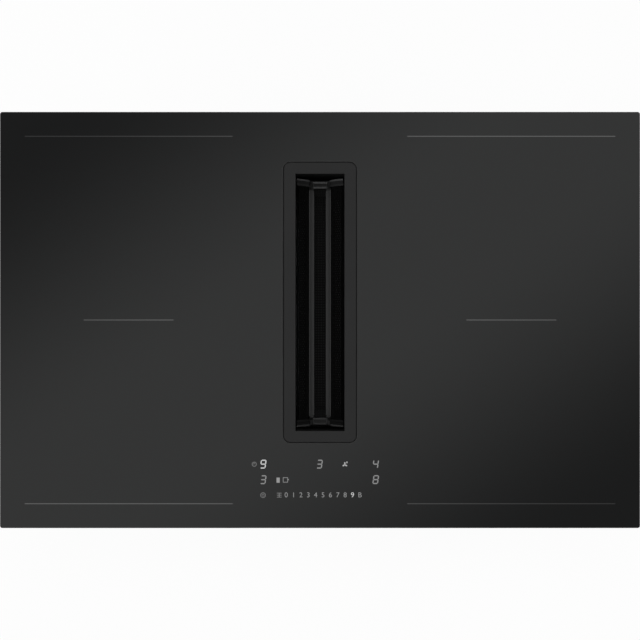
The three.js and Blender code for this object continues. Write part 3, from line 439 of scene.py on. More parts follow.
# ---------------------------------------------------------------- touch symbols
# Small lit symbols beside the figures and in the row under them: a timer, a fan, two pan symbols,
# on and off, stop, and the row of levels from 0 to 9 with the boost level after it.

fan_light = light_material("fan_light", 0.42)
pan_light = light_material("pan_light", 0.29)
row_light = light_material("row_light", 0.25)
symbol_light = light_material("symbol_light", 0.17)
faint_light = light_material("faint_light", 0.13)


def ring(x, y, inner, outer, start=0.0, sweep=360.0, steps=28):
    """A ring, or a part of one, as outlines that share their corners."""
    turns = [math.radians(start + sweep * i / steps) for i in range(steps + 1)]
    outlines = []
    for p, q in zip(turns, turns[1:]):
        corners = ((p, inner), (p, outer), (q, outer), (q, inner))
        outlines.append([(x + r * math.cos(a), y + r * math.sin(a)) for a, r in corners])
    return outlines


def bar(x0, x1, y0, y1):
    """An upright rectangle between two edges each way."""
    return [[(x0, y0), (x1, y0), (x1, y1), (x0, y1)]]


def lit(name, shapes, light):
    """One symbol of light on the glass, from shapes that are each one or more outlines."""
    bodies = [slab(shape, GLASS_TOP, GLASS_TOP + LIGHT_HEIGHT) for shape in shapes]
    piece(name, bodies, light, "hob")


TIMER = (-0.0821, -0.1801)
lit(
    "timer_symbol",
    [
        ring(*TIMER, 0.0021, 0.0031),
        bar(TIMER[0] - 0.0004, TIMER[0] + 0.0004, TIMER[1], TIMER[1] + 0.0018),
        bar(TIMER[0] - 0.0016, TIMER[0] - 0.0005, TIMER[1], TIMER[1] + 0.0008),
    ],
    faint_light,
)

FAN_SYMBOL = (0.0310, -0.1807)
BLADE_RIGHT = [(0.0, -0.0003), (0.0008, 0.0010), (0.0009, 0.0026)]
BLADE = BLADE_RIGHT + [(0.0, 0.0034), (-0.0009, 0.0026), (-0.0008, 0.0010)]
DROP, DROP_HALF_WIDTH, DROP_HALF_HEIGHT = (0.0336, -0.1778), 0.0008, 0.0013
blades = []
for turn in (0, 120, 240):
    spin = Matrix.Rotation(math.radians(turn), 2)
    blades.append([[tuple(spin @ Vector(p) + Vector(FAN_SYMBOL)) for p in BLADE]])
drop = []
for turn in range(0, 360, 45):
    angle = math.radians(turn)
    reach = (DROP_HALF_WIDTH * math.cos(angle), DROP_HALF_HEIGHT * math.sin(angle))
    drop.append((DROP[0] + reach[0], DROP[1] + reach[1]))
lit("fan_symbol", blades + [[drop]], fan_light)


def bar_about(centre, half_width, half_height, rise=0.0):
    """An upright rectangle about a centre, or raised above it."""
    x, y = centre[0], centre[1] + rise
    return bar(x - half_width, x + half_width, y - half_height, y + half_height)


PAN_FULL = (-0.0523, -0.2000)
lit("pan_symbol_full", [bar_about(PAN_FULL, 0.0020, 0.0032)], pan_light)

PAN_OPEN = (-0.0432, -0.1997)
half_x, half_y, wall = 0.0031, 0.0032, 0.0007
grid_x = [PAN_OPEN[0] + x for x in (-half_x, wall - half_x, half_x - wall, half_x)]
grid_y = [PAN_OPEN[1] + y for y in (-half_y, wall - half_y, half_y - wall, half_y)]
border = [
    bar(grid_x[i], grid_x[i + 1], grid_y[j], grid_y[j + 1])[0]
    for i in range(3)
    for j in range(3)
    if (i, j) != (1, 1)
]
handle = bar(grid_x[3] + 0.0001, grid_x[3] + 0.0011, PAN_OPEN[1] - 0.0004, PAN_OPEN[1] + 0.0012)
lit("pan_symbol_open", [border, handle], row_light)

ROW_Y = -0.2187
POWER = (-0.0711, ROW_Y)
lit(
    "power_symbol",
    [
        ring(*POWER, 0.0027, 0.0034),
        ring(*POWER, 0.0012, 0.0017, 120, 300, 16),
        bar(POWER[0] - 0.0003, POWER[0] + 0.0003, POWER[1], POWER[1] + 0.0021),
    ],
    symbol_light,
)

STOP = (-0.0509, ROW_Y)
STOP_LEVELS = (-0.0025, 0.0, 0.0025)
STOP_POST = (0.0005, 0.002)  # where a post starts and ends above its bar
stop_bars = [bar_about(STOP, 0.0029, 0.0004, level) for level in STOP_LEVELS]
stop_posts = [
    bar(STOP[0] - 0.0005, STOP[0] + 0.0005, *(ROW_Y + level + rise for rise in STOP_POST))
    for level in STOP_LEVELS[:2]
]
lit("stop_symbol", stop_bars + stop_posts, symbol_light)

NUMBER_HEIGHT = 0.0064
ROW_START, ROW_PITCH = -0.0422, 0.00920
CAPITAL_SHARE = 0.72  # how tall a figure is in the font's own size
for place, sign in enumerate("0123456789B"):
    letter = bpy.data.curves.new("sign", "FONT")
    letter.body = sign
    letter.size = NUMBER_HEIGHT / CAPITAL_SHARE
    letter.align_x = "CENTER"
    letter.align_y = "CENTER"
    letter.extrude = LIGHT_HEIGHT / 2
    letter.resolution_u = 4
    drawn = bpy.data.objects.new("sign", letter)
    bpy.context.scene.collection.objects.link(drawn)
    bpy.context.view_layer.update()
    solid = bmesh.new()
    solid.from_mesh(drawn.to_mesh())
    bmesh.ops.remove_doubles(solid, verts=solid.verts, dist=1e-7)
    at = Vector((ROW_START + ROW_PITCH * place, ROW_Y, GLASS_TOP + LIGHT_HEIGHT / 2))
    bmesh.ops.translate(solid, verts=solid.verts, vec=at)
    bpy.data.objects.remove(drawn)
    bpy.data.curves.remove(letter)
    title = "boost_letter" if sign == "B" else f"number_{sign}"
    piece(title, [solid], bright_light if sign == "9" else row_light, "hob")

# ---------------------------------------------------------------- cover frame
# The rim of the extractor's mouth: one die casting with a deep skirt, coated fine-textured matt
# black. It lies flush in the glass on the shaft's flange, and lifts off by hand for cleaning.


GRAIN_DEPTH = 0.00003


def toned(colour, share):
    """The same colour, darker or paler."""
    return tuple(share * c for c in colour) + (1,)


def coated_metal(name, colour, roughness, grain=0.0007, painted_shade_below=None, gloss=0.35):
    """Matt powder coating: an even grain and a sheen in broad patches, with painted shade below some
    height.
    """
    made, tree, place = new_material(name)
    speck = noise(place, 1 / grain, 3.0)
    patch = noise(place, 22.0)
    shade = speck.blend(toned(colour, 0.82), toned(colour, 1.18))
    if painted_shade_below:
        # painted shade: below that height the colour is darkened to a fifth
        shade = (place.axes()[2] > painted_shade_below).blend(toned(colour, 0.2), shade)
    surface(tree, {
        "Base Color": shade,
        "Roughness": roughness - 0.05 + 0.1 * patch,
        "Specular IOR Level": gloss,
        "Normal": bump(speck, 0.5, GRAIN_DEPTH),
    })
    return made


RIM_DEPTH = 0.0014  # below this, the skirt's colour is darkened as painted shade of the joint
satin_black = coated_metal("satin_black", (0.0138, 0.0138, 0.014), 0.5, painted_shade_below=GLASS_TOP - RIM_DEPTH)
dress("cover_frame", satin_black, 0.0004, flat=True)

# ---------------------------------------------------------------- grease filter
# A cassette of black-coated steel: a hammock-shaped stirrup at each end, two grip rails along the
# keel, a perforated strip between them, and a stack of expanded metal on either side. The coating
# is rubbed paler on the lips and rails, where hands hold it. Its colour also holds painted light
# and shade: paler on the folds and the rear stirrup, darker in the channels, on the foot and flanks
# and along the edges.

FILTER_LOW, FILTER_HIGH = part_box("filter_frame")
# From the ends of the filter inwards: a stirrup's lip, the stirrup, and the folds of the rails.
LIP_WIDTH, STIRRUP_WIDTH, FOLD_REACH = 0.0022, 0.0086, 0.0135
# From the keel outwards: the folds, the arms of the stirrup, the rails and the thin edge strips.
FOLD_START, FOLD_END, ARM_START, RAIL_END, STRIP_START = 0.0086, 0.0128, 0.0105, 0.0139, 0.0262
FOOT_HEIGHT = 0.0034
ROUNDING = 0.0002  # of the filter's edges

filter_black, steel, steel_place = new_material("filter_black")
steel_x, steel_y, steel_z = steel_place.axes()
from_keel = abs(steel_x)
from_end = steel_y.maths("MINIMUM", steel_y - FILTER_LOW.y, FILTER_HIGH.y - steel_y)
past_stirrup = from_end > STIRRUP_WIDTH + ROUNDING
on_stirrup = 1 - past_stirrup
at_rear = steel_y > 0
at_front = 1 - at_rear
outer_lip = 1 - (from_end > LIP_WIDTH)
inner_part = 1 - outer_lip
channel = (from_end > LIP_WIDTH) * (1 - (from_end > STIRRUP_WIDTH - LIP_WIDTH))
edge_strip = (from_keel > STRIP_START) * past_stirrup
steel_speck = noise(steel_place, 2000.0)
steel_wear = noise(steel_place, 90.0, 3.0)
foot = 1 - (steel_z > FILTER_LOW.z + FOOT_HEIGHT)
flank = (from_keel > RAIL_END) * (from_end > STIRRUP_WIDTH)
# painted shade: the channels, the foot and the flanks get a darker, duller coat
painted_shade_parts = foot.maths("MINIMUM", channel + foot + flank, 1.0)

# How pale the coat of painted shade is, from 0 to 1: palest on the folds, as painted light, darker
# under the perforated strip and on the front stirrup's arms, and black along the edges, as painted
# shade.
fold = (from_keel > FOLD_START) * (1 - (from_keel > FOLD_END)) * (1 - (from_end > FOLD_REACH))
front_arm = at_front * (from_keel > FOLD_END) * on_stirrup
under_strip = foot * past_stirrup * (1 - (from_keel > FOLD_START))
painted_light_share = 0.31 + (0.45 + 0.24 * at_front) * fold - 0.2 * (front_arm + under_strip) - 0.31 * edge_strip

# How pale the coating is, from 0 to 1: rubbed wear on the lips, with painted light that makes the rear
# stirrup and the outer lips paler, and painted shade where the arms turn down beside the keel.
# partly rubbed wear, partly painted light on the rear stirrup and the outer lips, and painted shade on
# the inner parts beside the keel
lip_wear_and_light = at_rear * (0.37 + 0.35 * outer_lip)
arm_wear_and_shade = (0.1 + 0.12 * at_front) * outer_lip - (0.2 + 0.17 * at_rear) * inner_part
wear_and_painted_light = 0.18 + 0.08 * steel_speck + on_stirrup * (lip_wear_and_light + (from_keel > ARM_START) * arm_wear_and_shade)
wear_and_light_coat = steel.node("ShaderNodeBsdfPrincipled", None, {
    "Base Color": wear_and_painted_light.blend((0.01, 0.01, 0.01, 1), (0.1, 0.1, 0.101, 1)),
    "Roughness": 0.36 + 0.14 * steel_wear,
    "Specular IOR Level": 0.35,
    "Normal": bump(steel_speck, 0.5, 0.00002),
})
painted_shade_coat = steel.node("ShaderNodeBsdfPrincipled", None, {
    "Base Color": painted_light_share.blend((0.001, 0.001, 0.001, 1), (0.08, 0.08, 0.08, 1)),
    "Roughness": 0.7 + 0.1 * steel_wear,
    "Specular IOR Level": 0.1,
})
filter_coat = steel.node("ShaderNodeMixShader", None, {0: painted_shade_parts, 1: wear_and_light_coat, 2: painted_shade_coat})
steel.node("ShaderNodeOutputMaterial", None, {"Surface": filter_coat})
dress("filter_frame", filter_black, ROUNDING)

mesh_black = coated_metal("mesh_black", (0.004, 0.004, 0.004), 0.55, 0.0004)
KEEL_COLUMNS, KEEL_ROWS, KEEL_PITCH, KEEL_HOLE = 4, 88, 0.0034, 0.0023


def perforated_sheet(low, high):
    """A flat sheet with rows of square holes, between two corners."""
    middle = (low + high) / 2
    sides = []
    for start, count, edge in ((middle.x, KEEL_COLUMNS, low.x), (middle.y, KEEL_ROWS, low.y)):
        cuts = [edge]
        for i in range(count):
            hole = start + (i - (count - 1) / 2) * KEEL_PITCH
            cuts += [hole - KEEL_HOLE / 2, hole + KEEL_HOLE / 2]
        sides.append(cuts + [2 * start - edge])
    mesh = bmesh.new()
    grid = [[mesh.verts.new((x, y, low.z)) for y in sides[1]] for x in sides[0]]
    for i in range(len(sides[0]) - 1):
        for j in range(len(sides[1]) - 1):
            if i % 2 == 0 or j % 2 == 0:
                mesh.faces.new((grid[i][j], grid[i][j + 1], grid[i + 1][j + 1], grid[i + 1][j]))
    return thicken(mesh, high.z - low.z)


strip_black = coated_metal("strip_black", (0.006, 0.006, 0.006), 0.6, 0.0004, gloss=0.04)
strip = perforated_sheet(*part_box("filter_mesh_keel"))
keel = piece("keel_strip", [strip], strip_black, "grease_filter")
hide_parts("filter_mesh_keel")

CELL_WIDTH, CELL_LENGTH, STRAND, SHEET_GAP, BORDER = 0.0032, 0.006, 0.00055, 0.0007, 0.0012


def tube(mesh, rings):
    """Joins rings of corners to one closed tube."""
    sides = len(rings[0])
    for first, second in zip(rings, rings[1:]):
        for a in range(sides):
            b = (a + 1) % sides
            mesh.faces.new((first[a], first[b], second[b], second[a]))
    mesh.faces.new(rings[0][::-1])
    mesh.faces.new(rings[-1])


def expanded_metal(foot, head, y0, y1):
    """Two layers of diamond-shaped cells on a slope from foot to head (x, z), with a folded border."""
    along = (head - foot).normalized()
    rise = Vector((-along.y, along.x))
    reach = (head - foot).length
    half = STRAND / 2
    mesh = bmesh.new()

    def ribbon(path, level, breadth):
        rings = []
        for u, v in path:
            near, far = (max(0, min(reach, u + s * breadth / 2)) for s in (-1, 1))
            ring = []
            for w, h in ((near, -half), (far, -half), (far, half), (near, half)):
                flat = foot + along * w + rise * (level + h)
                ring.append(mesh.verts.new((flat.x, y0 + v, flat.y)))
            rings.append(ring)
        tube(mesh, rings)

    steps = int((y1 - y0) / (CELL_LENGTH / 2))
    strands = int(reach / (CELL_WIDTH / 2))
    for layer in (0, 1):
        for k in range(strands):
            path = []
            for i in range(steps + 1):
                swing = 0.5 if (i + k + layer) % 2 == 0 else -0.5
                path.append(((k + 0.5 + swing) * CELL_WIDTH / 2, i * (y1 - y0) / steps))
            ribbon(path, half + layer * SHEET_GAP, STRAND)
    for edge in (BORDER / 2, reach - BORDER / 2):
        ribbon([(edge, 0), (edge, y1 - y0)], half + SHEET_GAP / 2, BORDER)
    bmesh.ops.recalc_face_normals(mesh, faces=mesh.faces)
    return mesh


MESH_FOOT, MESH_HEAD = Vector((0.0161, 0.1542)), Vector((0.0276, 0.1664))  # of the slope, in x and z
for hand, mirror in (("left", -1), ("right", 1)):
    low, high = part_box(f"filter_mesh_{hand}")
    slope = [Vector((mirror * p.x, p.y)) for p in (MESH_FOOT, MESH_HEAD)]
    if mirror < 0:
        slope.reverse()
    sheet = expanded_metal(*slope, low.y, high.y)
    made = piece(f"expanded_metal_{hand}", [sheet], mesh_black, "grease_filter")
    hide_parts(f"filter_mesh_{hand}")

# ---------------------------------------------------------------- overflow tray and inlet shaft
# Under the filter, a black plastic trough catches what boils over. It rests on two ledges of the
# inlet shaft, a moulded plastic frame that hangs under the glass and leads the air to the fan box.


def moulded_plastic(name, colour, roughness, grain=0.0009):
    """Injection-moulded plastic with the fine grain of its mould and a slightly uneven sheen."""
    made, tree, place = new_material(name)
    mould = noise(place, 1 / grain)
    flow = noise(place, 9.0, 3.0)
    surface(tree, {
        "Base Color": flow.blend(toned(colour, 0.93), toned(colour, 1.07)),
        "Roughness": roughness - 0.06 + 0.12 * flow,
        "Normal": bump(mould, 0.45, GRAIN_DEPTH),
    })
    return made


trough_black = moulded_plastic("trough_black", (0.006, 0.006, 0.006), 0.6)
dress("overflow_tray", trough_black, 0.0004)
shaft_black = moulded_plastic("shaft_black", (0.008, 0.008, 0.0082), 0.6)
dress("inlet_shaft", shaft_black, 0.0005)

# ---------------------------------------------------------------- seals
# Closed-cell foam: a tape between glass and worktop, one between glass and shaft, and one between
# the fan box and the pan. They are cut from sheet, so their edges stay square.

foam_grey, foam, foam_place = new_material("foam_grey")
cells = foam.node("ShaderNodeTexVoronoi", None, {"Vector": foam_place, "Scale": 1600.0}, "Distance")
surface(foam, {
    "Base Color": cells.blend((0.012, 0.012, 0.012, 1), (0.026, 0.026, 0.027, 1)),
    "Roughness": 0.86 + 0.1 * cells,
    "Normal": bump(cells, 0.8, 0.0001),
})
for node in ("worktop_seal", "vent_gasket", "shaft_gasket"):
    dress(node, foam_grey)

# ---------------------------------------------------------------- support frame
# Four glass-filled plastic rails of L section, bonded to the underside of the glass with black
# silicone. The pan's rim meets them from below, and is screwed to them through its walls.

case_black = moulded_plastic("case_black", (0.013, 0.013, 0.0135), 0.52)
dress("support_frame", case_black, 0.0004)

# ---------------------------------------------------------------- base pan
# Folded and spot-welded zinc-coated steel, 1.2 mm thick, with louvres, fan intakes, stiffening
# beads pressed out of its floor and self-tapping screws through its walls.


def sheet_metal(name, dark, pale, roughness, spangle, stretch=(1, 1, 1)):
    """Bare metal: crystals, or rolling marks where they are stretched, and a fine scratchy sheen."""
    made, tree, place = new_material(name)
    rolled = tree.node("ShaderNodeMapping", None, {"Vector": place, "Scale": stretch})
    crystal = tree.node("ShaderNodeTexVoronoi", None, {"Vector": rolled, "Scale": 1 / spangle}, "Color")
    shade = crystal.axes()[0]
    fine = noise(rolled, 6 / spangle, 3.0)
    surface(tree, {
        "Base Color": (0.7 * shade + 0.3 * fine).blend(dark + (1,), pale + (1,)),
        "Metallic": 1.0,
        "Roughness": roughness - 0.06 + 0.12 * shade,
        "Normal": bump(fine, 0.2, 0.00002),
    })
    return made


zinc_steel = sheet_metal("zinc_steel", (0.46, 0.47, 0.48), (0.6, 0.61, 0.62), 0.42, 0.007)
dress("base_pan", zinc_steel)
screw_steel = sheet_metal("screw_steel", (0.5, 0.5, 0.5), (0.62, 0.62, 0.62), 0.34, 0.0012)

PAN_LOW, PAN_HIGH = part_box("base_pan")
SCREW_RADIUS, HEAD_RISE, SCREW_SIDES = 0.0024, 0.62, 24
LOBES, LOBE_DEPTH = 6, 0.14
# From the seat over the head and down into the socket: the radius as a share of the screw's, the
# height as a share of the head's, and whether the ring is lobed.
SCREW_PROFILE = ((1, 0, 0), (1, 0.35, 0), (0.82, 0.85, 0), (0.56, 1, 0), (0.44, 1, 1), (0.42, 0.3, 1))


def screw(seat, direction, radius=SCREW_RADIUS):
    """A pan-head screw with a six-lobed socket, whose head points away from its seat."""
    turn = Vector((0, 0, 1)).rotation_difference(Vector(direction)).to_matrix()
    mesh = bmesh.new()
    rings = []
    for reach, height, lobed in SCREW_PROFILE:
        ring = []
        for i in range(SCREW_SIDES):
            angle = math.tau * i / SCREW_SIDES
            share = reach * radius * (1 + LOBE_DEPTH * lobed * math.cos(LOBES * angle))
            rise = height * HEAD_RISE * radius
            point = Vector((share * math.cos(angle), share * math.sin(angle), rise))
            ring.append(mesh.verts.new(Vector(seat) + turn @ point))
        rings.append(ring)
    tube(mesh, rings)
    return mesh


WALL_SCREW_Z = PAN_HIGH.z - 0.005
wall_screws = []
for side in (-1, 1):
    for y in (-0.21, -0.075, 0.075, 0.21):
        wall_screws.append(screw((side * PAN_HIGH.x, y, WALL_SCREW_Z), (side, 0, 0)))
    for x in (-0.3, -0.1, 0.1, 0.3):
        wall_screws.append(screw((x, side * PAN_HIGH.y, WALL_SCREW_Z), (0, side, 0)))
piece("pan_screws", wall_screws, screw_steel, "hob")

BEAD_WIDTH, BEAD_DEPTH, BEAD_ROUNDING = 0.009, 0.0009, 0.00085
LEFT_BEADS = ((-0.362, -0.1), (-0.13, -0.07, -0.01, 0.05, 0.11))  # from and to in x, and each y
RIGHT_BEADS = ((0.29, 0.368), (-0.12, -0.04, 0.04, 0.12, 0.2))
beads = []
for reach, rows in (LEFT_BEADS, RIGHT_BEADS):
    for y in rows:
        beads.append(slab([rounded_bar(*reach, y, BEAD_WIDTH)], PAN_LOW.z - BEAD_DEPTH, PAN_LOW.z))
for bead in beads:
    rim = [e for e in bead.edges if all(v.co.z < PAN_LOW.z - BEAD_DEPTH / 2 for v in e.verts)]
    bmesh.ops.bevel(bead, geom=rim, offset=BEAD_ROUNDING, segments=3, profile=0.5, affect="EDGES")
piece("floor_beads", beads, zinc_steel, "hob").data.shade_smooth()

# ---------------------------------------------------------------- fixing springs
# Four folded leaves of spring steel on the sides, each held by two screws. They grip the sides of
# the worktop's cut-out when the cooktop is pressed into it.

SPRING_Y, LEAF_THICKNESS = 0.15, 0.0012
LEAF_SCREW_OFFSET, LEAF_SCREW_DROP, SPRING_SCREW = 0.007, 0.0065, 0.0022

spring_steel = sheet_metal(
    "spring_steel", (0.33, 0.34, 0.35), (0.43, 0.44, 0.45), 0.32, 0.004, stretch=(1, 0.15, 1)
)
spring_screws = []
for hand, side in (("left", -1), ("right", 1)):
    for place, y in (("front", -SPRING_Y), ("rear", SPRING_Y)):
        dress(f"fixing_spring_{place}_{hand}", spring_steel, 0.0002)
        for offset in (-LEAF_SCREW_OFFSET, LEAF_SCREW_OFFSET):
            seat = (side * (PAN_HIGH.x + LEAF_THICKNESS), y + offset, PAN_HIGH.z - LEAF_SCREW_DROP)
            spring_screws.append(screw(seat, (side, 0, 0), SPRING_SCREW))
piece("spring_screws", spring_screws, screw_steel, "hob")

# ---------------------------------------------------------------- coils
# Under each field: a pressed aluminium tray on legs, two plastic carriers with ferrite bars glued
# under them, a flat coil of litz wire on each, a sprung sensor in its eye, and a mica mat on top.

tray_aluminium = sheet_metal(
    "tray_aluminium", (0.66, 0.67, 0.68), (0.76, 0.77, 0.78), 0.4, 0.003, stretch=(1, 0.1, 1)
)
mica_sheet, mica, mica_place = new_material("mica_sheet")
flakes = mica.node("ShaderNodeTexVoronoi", None, {"Vector": mica_place, "Scale": 350.0}, "Color")
flake = flakes.axes()[0]
surface(mica, {
    "Base Color": flake.blend((0.42, 0.36, 0.26, 1), (0.58, 0.5, 0.37, 1)),
    "Roughness": 0.5 + 0.25 * flake,
})
ferrite = moulded_plastic("ferrite", (0.055, 0.056, 0.058), 0.7, 0.0006)
ceramic_white = moulded_plastic("ceramic_white", (0.66, 0.66, 0.63), 0.5, 0.0006)

litz_copper, litz, litz_place = new_material("litz_copper")
twist = litz.node(
    "ShaderNodeTexWave",
    {"wave_type": "BANDS", "bands_direction": "DIAGONAL"},
    {"Vector": litz_place, "Scale": 320.0, "Distortion": 3.0, "Detail": 2.0},
    "Fac",
)
surface(litz, {
    "Base Color": twist.blend((0.3, 0.11, 0.045, 1), (0.56, 0.24, 0.11, 1)),
    "Metallic": 0.75,
    "Roughness": 0.32 + 0.12 * twist,
    "Normal": bump(twist, 0.7, 0.0002),
})

TURNS, TURN_STEPS, WIRE_SIDES = 16, 64, 8
EYE_WIDTH, OUTER_CORNER, TIGHTEST_CORNER = 0.062, 0.08, 0.009
WIRE_SHARE = 0.46  # the wire's radius, as a share of the distance between two turns


def wound_coil(low, high):
    """One unbroken wire, wound from the eye outwards into a flat oval with round corners."""
    middle = (low + high) / 2
    half = (high - low) / 2
    wound = half.y - EYE_WIDTH / 2
    pitch = wound / TURNS
    radius = pitch * WIRE_SHARE
    path = []
    for step in range(TURNS * TURN_STEPS + 1):
        inset = max(wound - pitch * (step / TURN_STEPS) + radius, radius)
        a, b = half.x - inset, half.y - inset
        corner = max(OUTER_CORNER - inset, TIGHTEST_CORNER)
        angle = math.tau * step / TURN_STEPS
        ray = Vector((math.cos(angle), math.sin(angle)))
        reach = min(a / max(abs(ray.x), 1e-9), b / max(abs(ray.y), 1e-9))
        point = ray * reach
        heart = Vector((a - corner, b - corner))
        if abs(point.x) > heart.x and abs(point.y) > heart.y:
            centre = Vector((math.copysign(heart.x, ray.x), math.copysign(heart.y, ray.y)))
            along = ray.dot(centre)
            reach = along + math.sqrt(max(along**2 - centre.length_squared + corner**2, 0))
            point = ray * reach
        path.append(Vector((middle.x + point.x, middle.y + point.y, middle.z)))
    mesh = bmesh.new()
    rings = []
    for i, point in enumerate(path):
        ahead = (path[min(i + 1, len(path) - 1)] - path[max(i - 1, 0)]).normalized()
        side = Vector((-ahead.y, ahead.x, 0))
        ring = []
        for k in range(WIRE_SIDES):
            angle = math.tau * k / WIRE_SIDES
            around = side * math.cos(angle) + Vector((0, 0, math.sin(angle)))
            ring.append(mesh.verts.new(point + radius * around))
        rings.append(ring)
    tube(mesh, rings)
    bmesh.ops.recalc_face_normals(mesh, faces=mesh.faces)
    return mesh


for hand in ("left", "right"):
    dress(f"coil_tray_{hand}", tray_aluminium)
    dress(f"insulation_mat_{hand}", mica_sheet)
    for place in ("front", "rear"):
        dress(f"coil_carrier_{place}_{hand}", ferrite, 0.0003)
        dress(f"pan_sensor_{place}_{hand}", ceramic_white, 0.0003)
        node = f"coil_winding_{place}_{hand}"
        winding = wound_coil(*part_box(node))
        coil = piece(f"litz_coil_{place}_{hand}", [winding], litz_copper, "hob")
        coil.data.shade_smooth()
        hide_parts(node)

# ---------------------------------------------------------------- power stages
# On each side: a board with its film capacitors, electrolytic capacitors and chokes, an extruded
# aluminium heat sink with the power switches bolted on, and a radial fan that blows through it.


def board_material(name, origin, face, parts):
    """A green board whose parts, higher than its face, have colours of their own."""
    made, tree, place = new_material(name)
    x, y, z = place.axes()
    traces = tree.node("ShaderNodeTexBrick", None, {"Vector": place, "Scale": 60.0}, "Fac")
    speck = noise(place, 800.0)
    paint = traces.blend((0.012, 0.075, 0.035, 1), (0.02, 0.11, 0.05, 1))
    raised = z > face
    for (x0, x1), (y0, y1), colour in parts:
        x0, x1, y0, y1 = origin[0] + x0, origin[0] + x1, origin[1] + y0, origin[1] + y1
        inside = (x > x0) * (1 - (x > x1)) * (y > y0) * (1 - (y > y1))
        paint = (raised * inside).blend(paint, colour + (1,))
    surface(tree, {
        "Base Color": paint,
        "Roughness": 0.32 + 0.25 * speck,
        "Normal": bump(speck, 0.2, 0.0001),
    })
    return made


BOARD_RISE = 0.0068  # the stand-offs and the board itself
BOARD_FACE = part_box("power_board_left")[0].z + BOARD_RISE
BOARD_X = 0.25
FILM_BLUE, CAN_BLACK, TOROID_GREEN = (0.02, 0.05, 0.16), (0.012, 0.012, 0.014), (0.05, 0.16, 0.1)
PLUG_WHITE, RELAY_BLACK = (0.6, 0.6, 0.56), (0.02, 0.02, 0.022)
power_parts = [  # from and to in x and y, from the board's middle
    ((-0.101, -0.065), (-0.12, 0.085), FILM_BLUE),
    ((0.05, 0.075), (-0.117, -0.05), CAN_BLACK),
    ((0.054, 0.1), (-0.022, 0.083), TOROID_GREEN),
    ((-0.054, -0.005), (0.12, 0.144), RELAY_BLACK),
    ((0.019, 0.073), (0.124, 0.142), PLUG_WHITE),
    ((0.045, 0.1), (-0.134, -0.12), PLUG_WHITE),
]
sink_aluminium = sheet_metal(
    "sink_aluminium", (0.6, 0.61, 0.62), (0.7, 0.71, 0.72), 0.36, 0.002, stretch=(1, 0.05, 1)
)
rotor_grey = moulded_plastic("rotor_grey", (0.16, 0.165, 0.17), 0.5)
for hand, side in (("left", -1), ("right", 1)):
    board_coat = board_material(f"power_board_{hand}", (side * BOARD_X, 0), BOARD_FACE, power_parts)
    dress(f"power_board_{hand}", board_coat)
    dress(f"heat_sink_{hand}", sink_aluminium, 0.0002)
    dress(f"cooling_fan_housing_{hand}", case_black, 0.0005)
    dress(f"cooling_fan_rotor_{hand}", rotor_grey, 0.0002)

# ---------------------------------------------------------------- filter and control boards
# The mains filter board stands behind the left power board. The control board hangs close under
# the glass in a plastic carrier that presses the touch film to it, with a window for each display.

CONTROL_FACE = 0.18575  # the upper side of the control board
DISPLAY_WHITE, VARISTOR_YELLOW = (0.45, 0.45, 0.43), (0.5, 0.38, 0.03)
filter_parts = [
    ((0.004, 0.044), (0.016, 0.056), TOROID_GREEN),
    ((0.048, 0.08), (0.028, 0.06), VARISTOR_YELLOW),
    ((0.012, 0.086), (0.01, 0.024), PLUG_WHITE),
]
display_parts = [((-0.1, 0.1), (-0.23, -0.17), DISPLAY_WHITE)]
filter_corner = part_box("mains_filter_board")[0]
filter_board_coat = board_material("mains_filter_board", filter_corner[:2], BOARD_FACE, filter_parts)
dress("mains_filter_board", filter_board_coat)
control_board_coat = board_material("control_board", (0, 0), CONTROL_FACE, display_parts)
dress("control_board", control_board_coat)
dress("touch_carrier", case_black)

# ---------------------------------------------------------------- mains connection
# A moulded box under the pan, with a screwed lid, a terminal block inside it and a gland for the
# mains lead.

dress("terminal_box", case_black, 0.0006)
dress("terminal_block", ceramic_white, 0.0004)
dress("terminal_box_lid", case_black, 0.0006)
dress("cable_gland", case_black, 0.0004, 3)
LID_INSET, LARGE_SCREW = 0.006, 0.0028
lid_low, lid_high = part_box("terminal_box_lid")
lid_screws = [
    screw((x, y, lid_low.z), (0, 0, -1), LARGE_SCREW)
    for x in (lid_low.x + LID_INSET, lid_high.x - LID_INSET)
    for y in (lid_low.y + LID_INSET, lid_high.y - LID_INSET)
]
piece("lid_screws", lid_screws, screw_steel, "hob")

# ---------------------------------------------------------------- fan box
# Two shells of black polypropylene, screwed together through their brims. The lower one has
# stiffening ribs, the guides of the two catches and the opening over the condensate tray.

box_black = moulded_plastic("box_black", (0.016, 0.016, 0.0165), 0.5, 0.0012)
dress("fan_box_lower", box_black, 0.0006)
dress("fan_box_cover", box_black, 0.0006)
BRIM_INSET, BRIM_THICKNESS = 0.004, 0.003
box_low, box_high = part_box("fan_box_lower")
screw_places = [(x, box_low.y + BRIM_INSET) for x in (0.0, 0.07, 0.14, 0.21)]
screw_places += [(x, box_high.y - BRIM_INSET) for x in (-0.04, 0.253)]
for x in (box_low.x + BRIM_INSET, box_high.x - BRIM_INSET):
    screw_places += [(x, y) for y in (-0.13, 0.03, 0.18)]
box_screws = [
    screw((x, y, box_high.z - BRIM_THICKNESS), (0, 0, -1), LARGE_SCREW) for x, y in screw_places
]
piece("fan_box_screws", box_screws, screw_steel, "hob")

# ---------------------------------------------------------------- condensate tray and catches
# A grey tray closes the fan box from below and catches what runs down the shaft. Two catches
# slide in their guides under its front and rear edges.

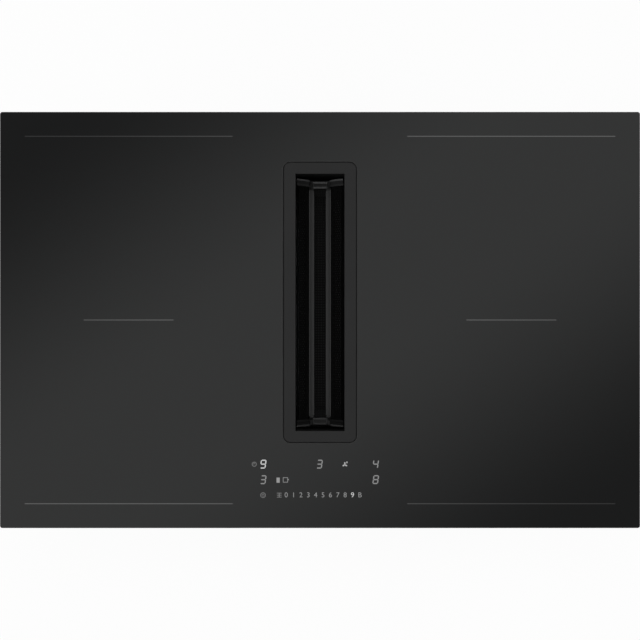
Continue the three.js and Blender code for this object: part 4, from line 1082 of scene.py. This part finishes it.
tray_grey = moulded_plastic("tray_grey", (0.23, 0.235, 0.24), 0.5)
dress("condensate_tray", tray_grey, 0.0006)
catch_grey = moulded_plastic("catch_grey", (0.3, 0.305, 0.31), 0.48)
for place in ("front", "rear"):
    dress(f"tray_catch_{place}", catch_grey, 0.0004)

# ---------------------------------------------------------------- outlet spigot
# The flat duct's spigot, pushed through the rear wall of the fan box and screwed on by its brim.

dress("outlet_spigot", box_black, 0.0006)
BRIM_FACE, SPIGOT_MIDDLE = 0.2283, 0.13
SPIGOT_INSET, SPIGOT_SCREW = 0.003, 0.0023
spigot_low, spigot_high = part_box("outlet_spigot")
spigot_screws = [
    screw((x, BRIM_FACE, z), (0, 1, 0), SPIGOT_SCREW)
    for x in (spigot_low.x + SPIGOT_INSET, SPIGOT_MIDDLE, spigot_high.x - SPIGOT_INSET)
    for z in (spigot_low.z + SPIGOT_INSET, spigot_high.z - SPIGOT_INSET)
]
piece("spigot_screws", spigot_screws, screw_steel, "hob")

# ---------------------------------------------------------------- blower
# A radial fan lying on its side: an impeller of grey plastic on the shaft of an outer-rotor motor,
# in a spiral housing that draws air from below. The motor's flange is screwed to the steel lid.

scroll_grey = moulded_plastic("scroll_grey", (0.2, 0.205, 0.21), 0.52)
dress("scroll_housing", scroll_grey, 0.0005)
dress("scroll_lid", zinc_steel)
motor_casting = sheet_metal("motor_casting", (0.58, 0.59, 0.6), (0.66, 0.67, 0.68), 0.46, 0.0015)
dress("fan_motor", motor_casting, 0.0008)
impeller_grey = moulded_plastic("impeller_grey", (0.13, 0.135, 0.14), 0.48)
dress("impeller", impeller_grey)
dress("motor_shaft", spring_steel, 0.0004)
MOTOR_AXIS, FLANGE_TOP, SCREW_CIRCLE, MOTOR_SCREW = (0.137, 0.01), 0.1156, 0.045, 0.003
motor_screws = []
for turn in (45, 135, 225, 315):
    angle = math.radians(turn)
    x = MOTOR_AXIS[0] + SCREW_CIRCLE * math.cos(angle)
    y = MOTOR_AXIS[1] + SCREW_CIRCLE * math.sin(angle)
    motor_screws.append(screw((x, y, FLANGE_TOP), (0, 0, 1), MOTOR_SCREW))
piece("motor_screws", motor_screws, screw_steel, "hob")
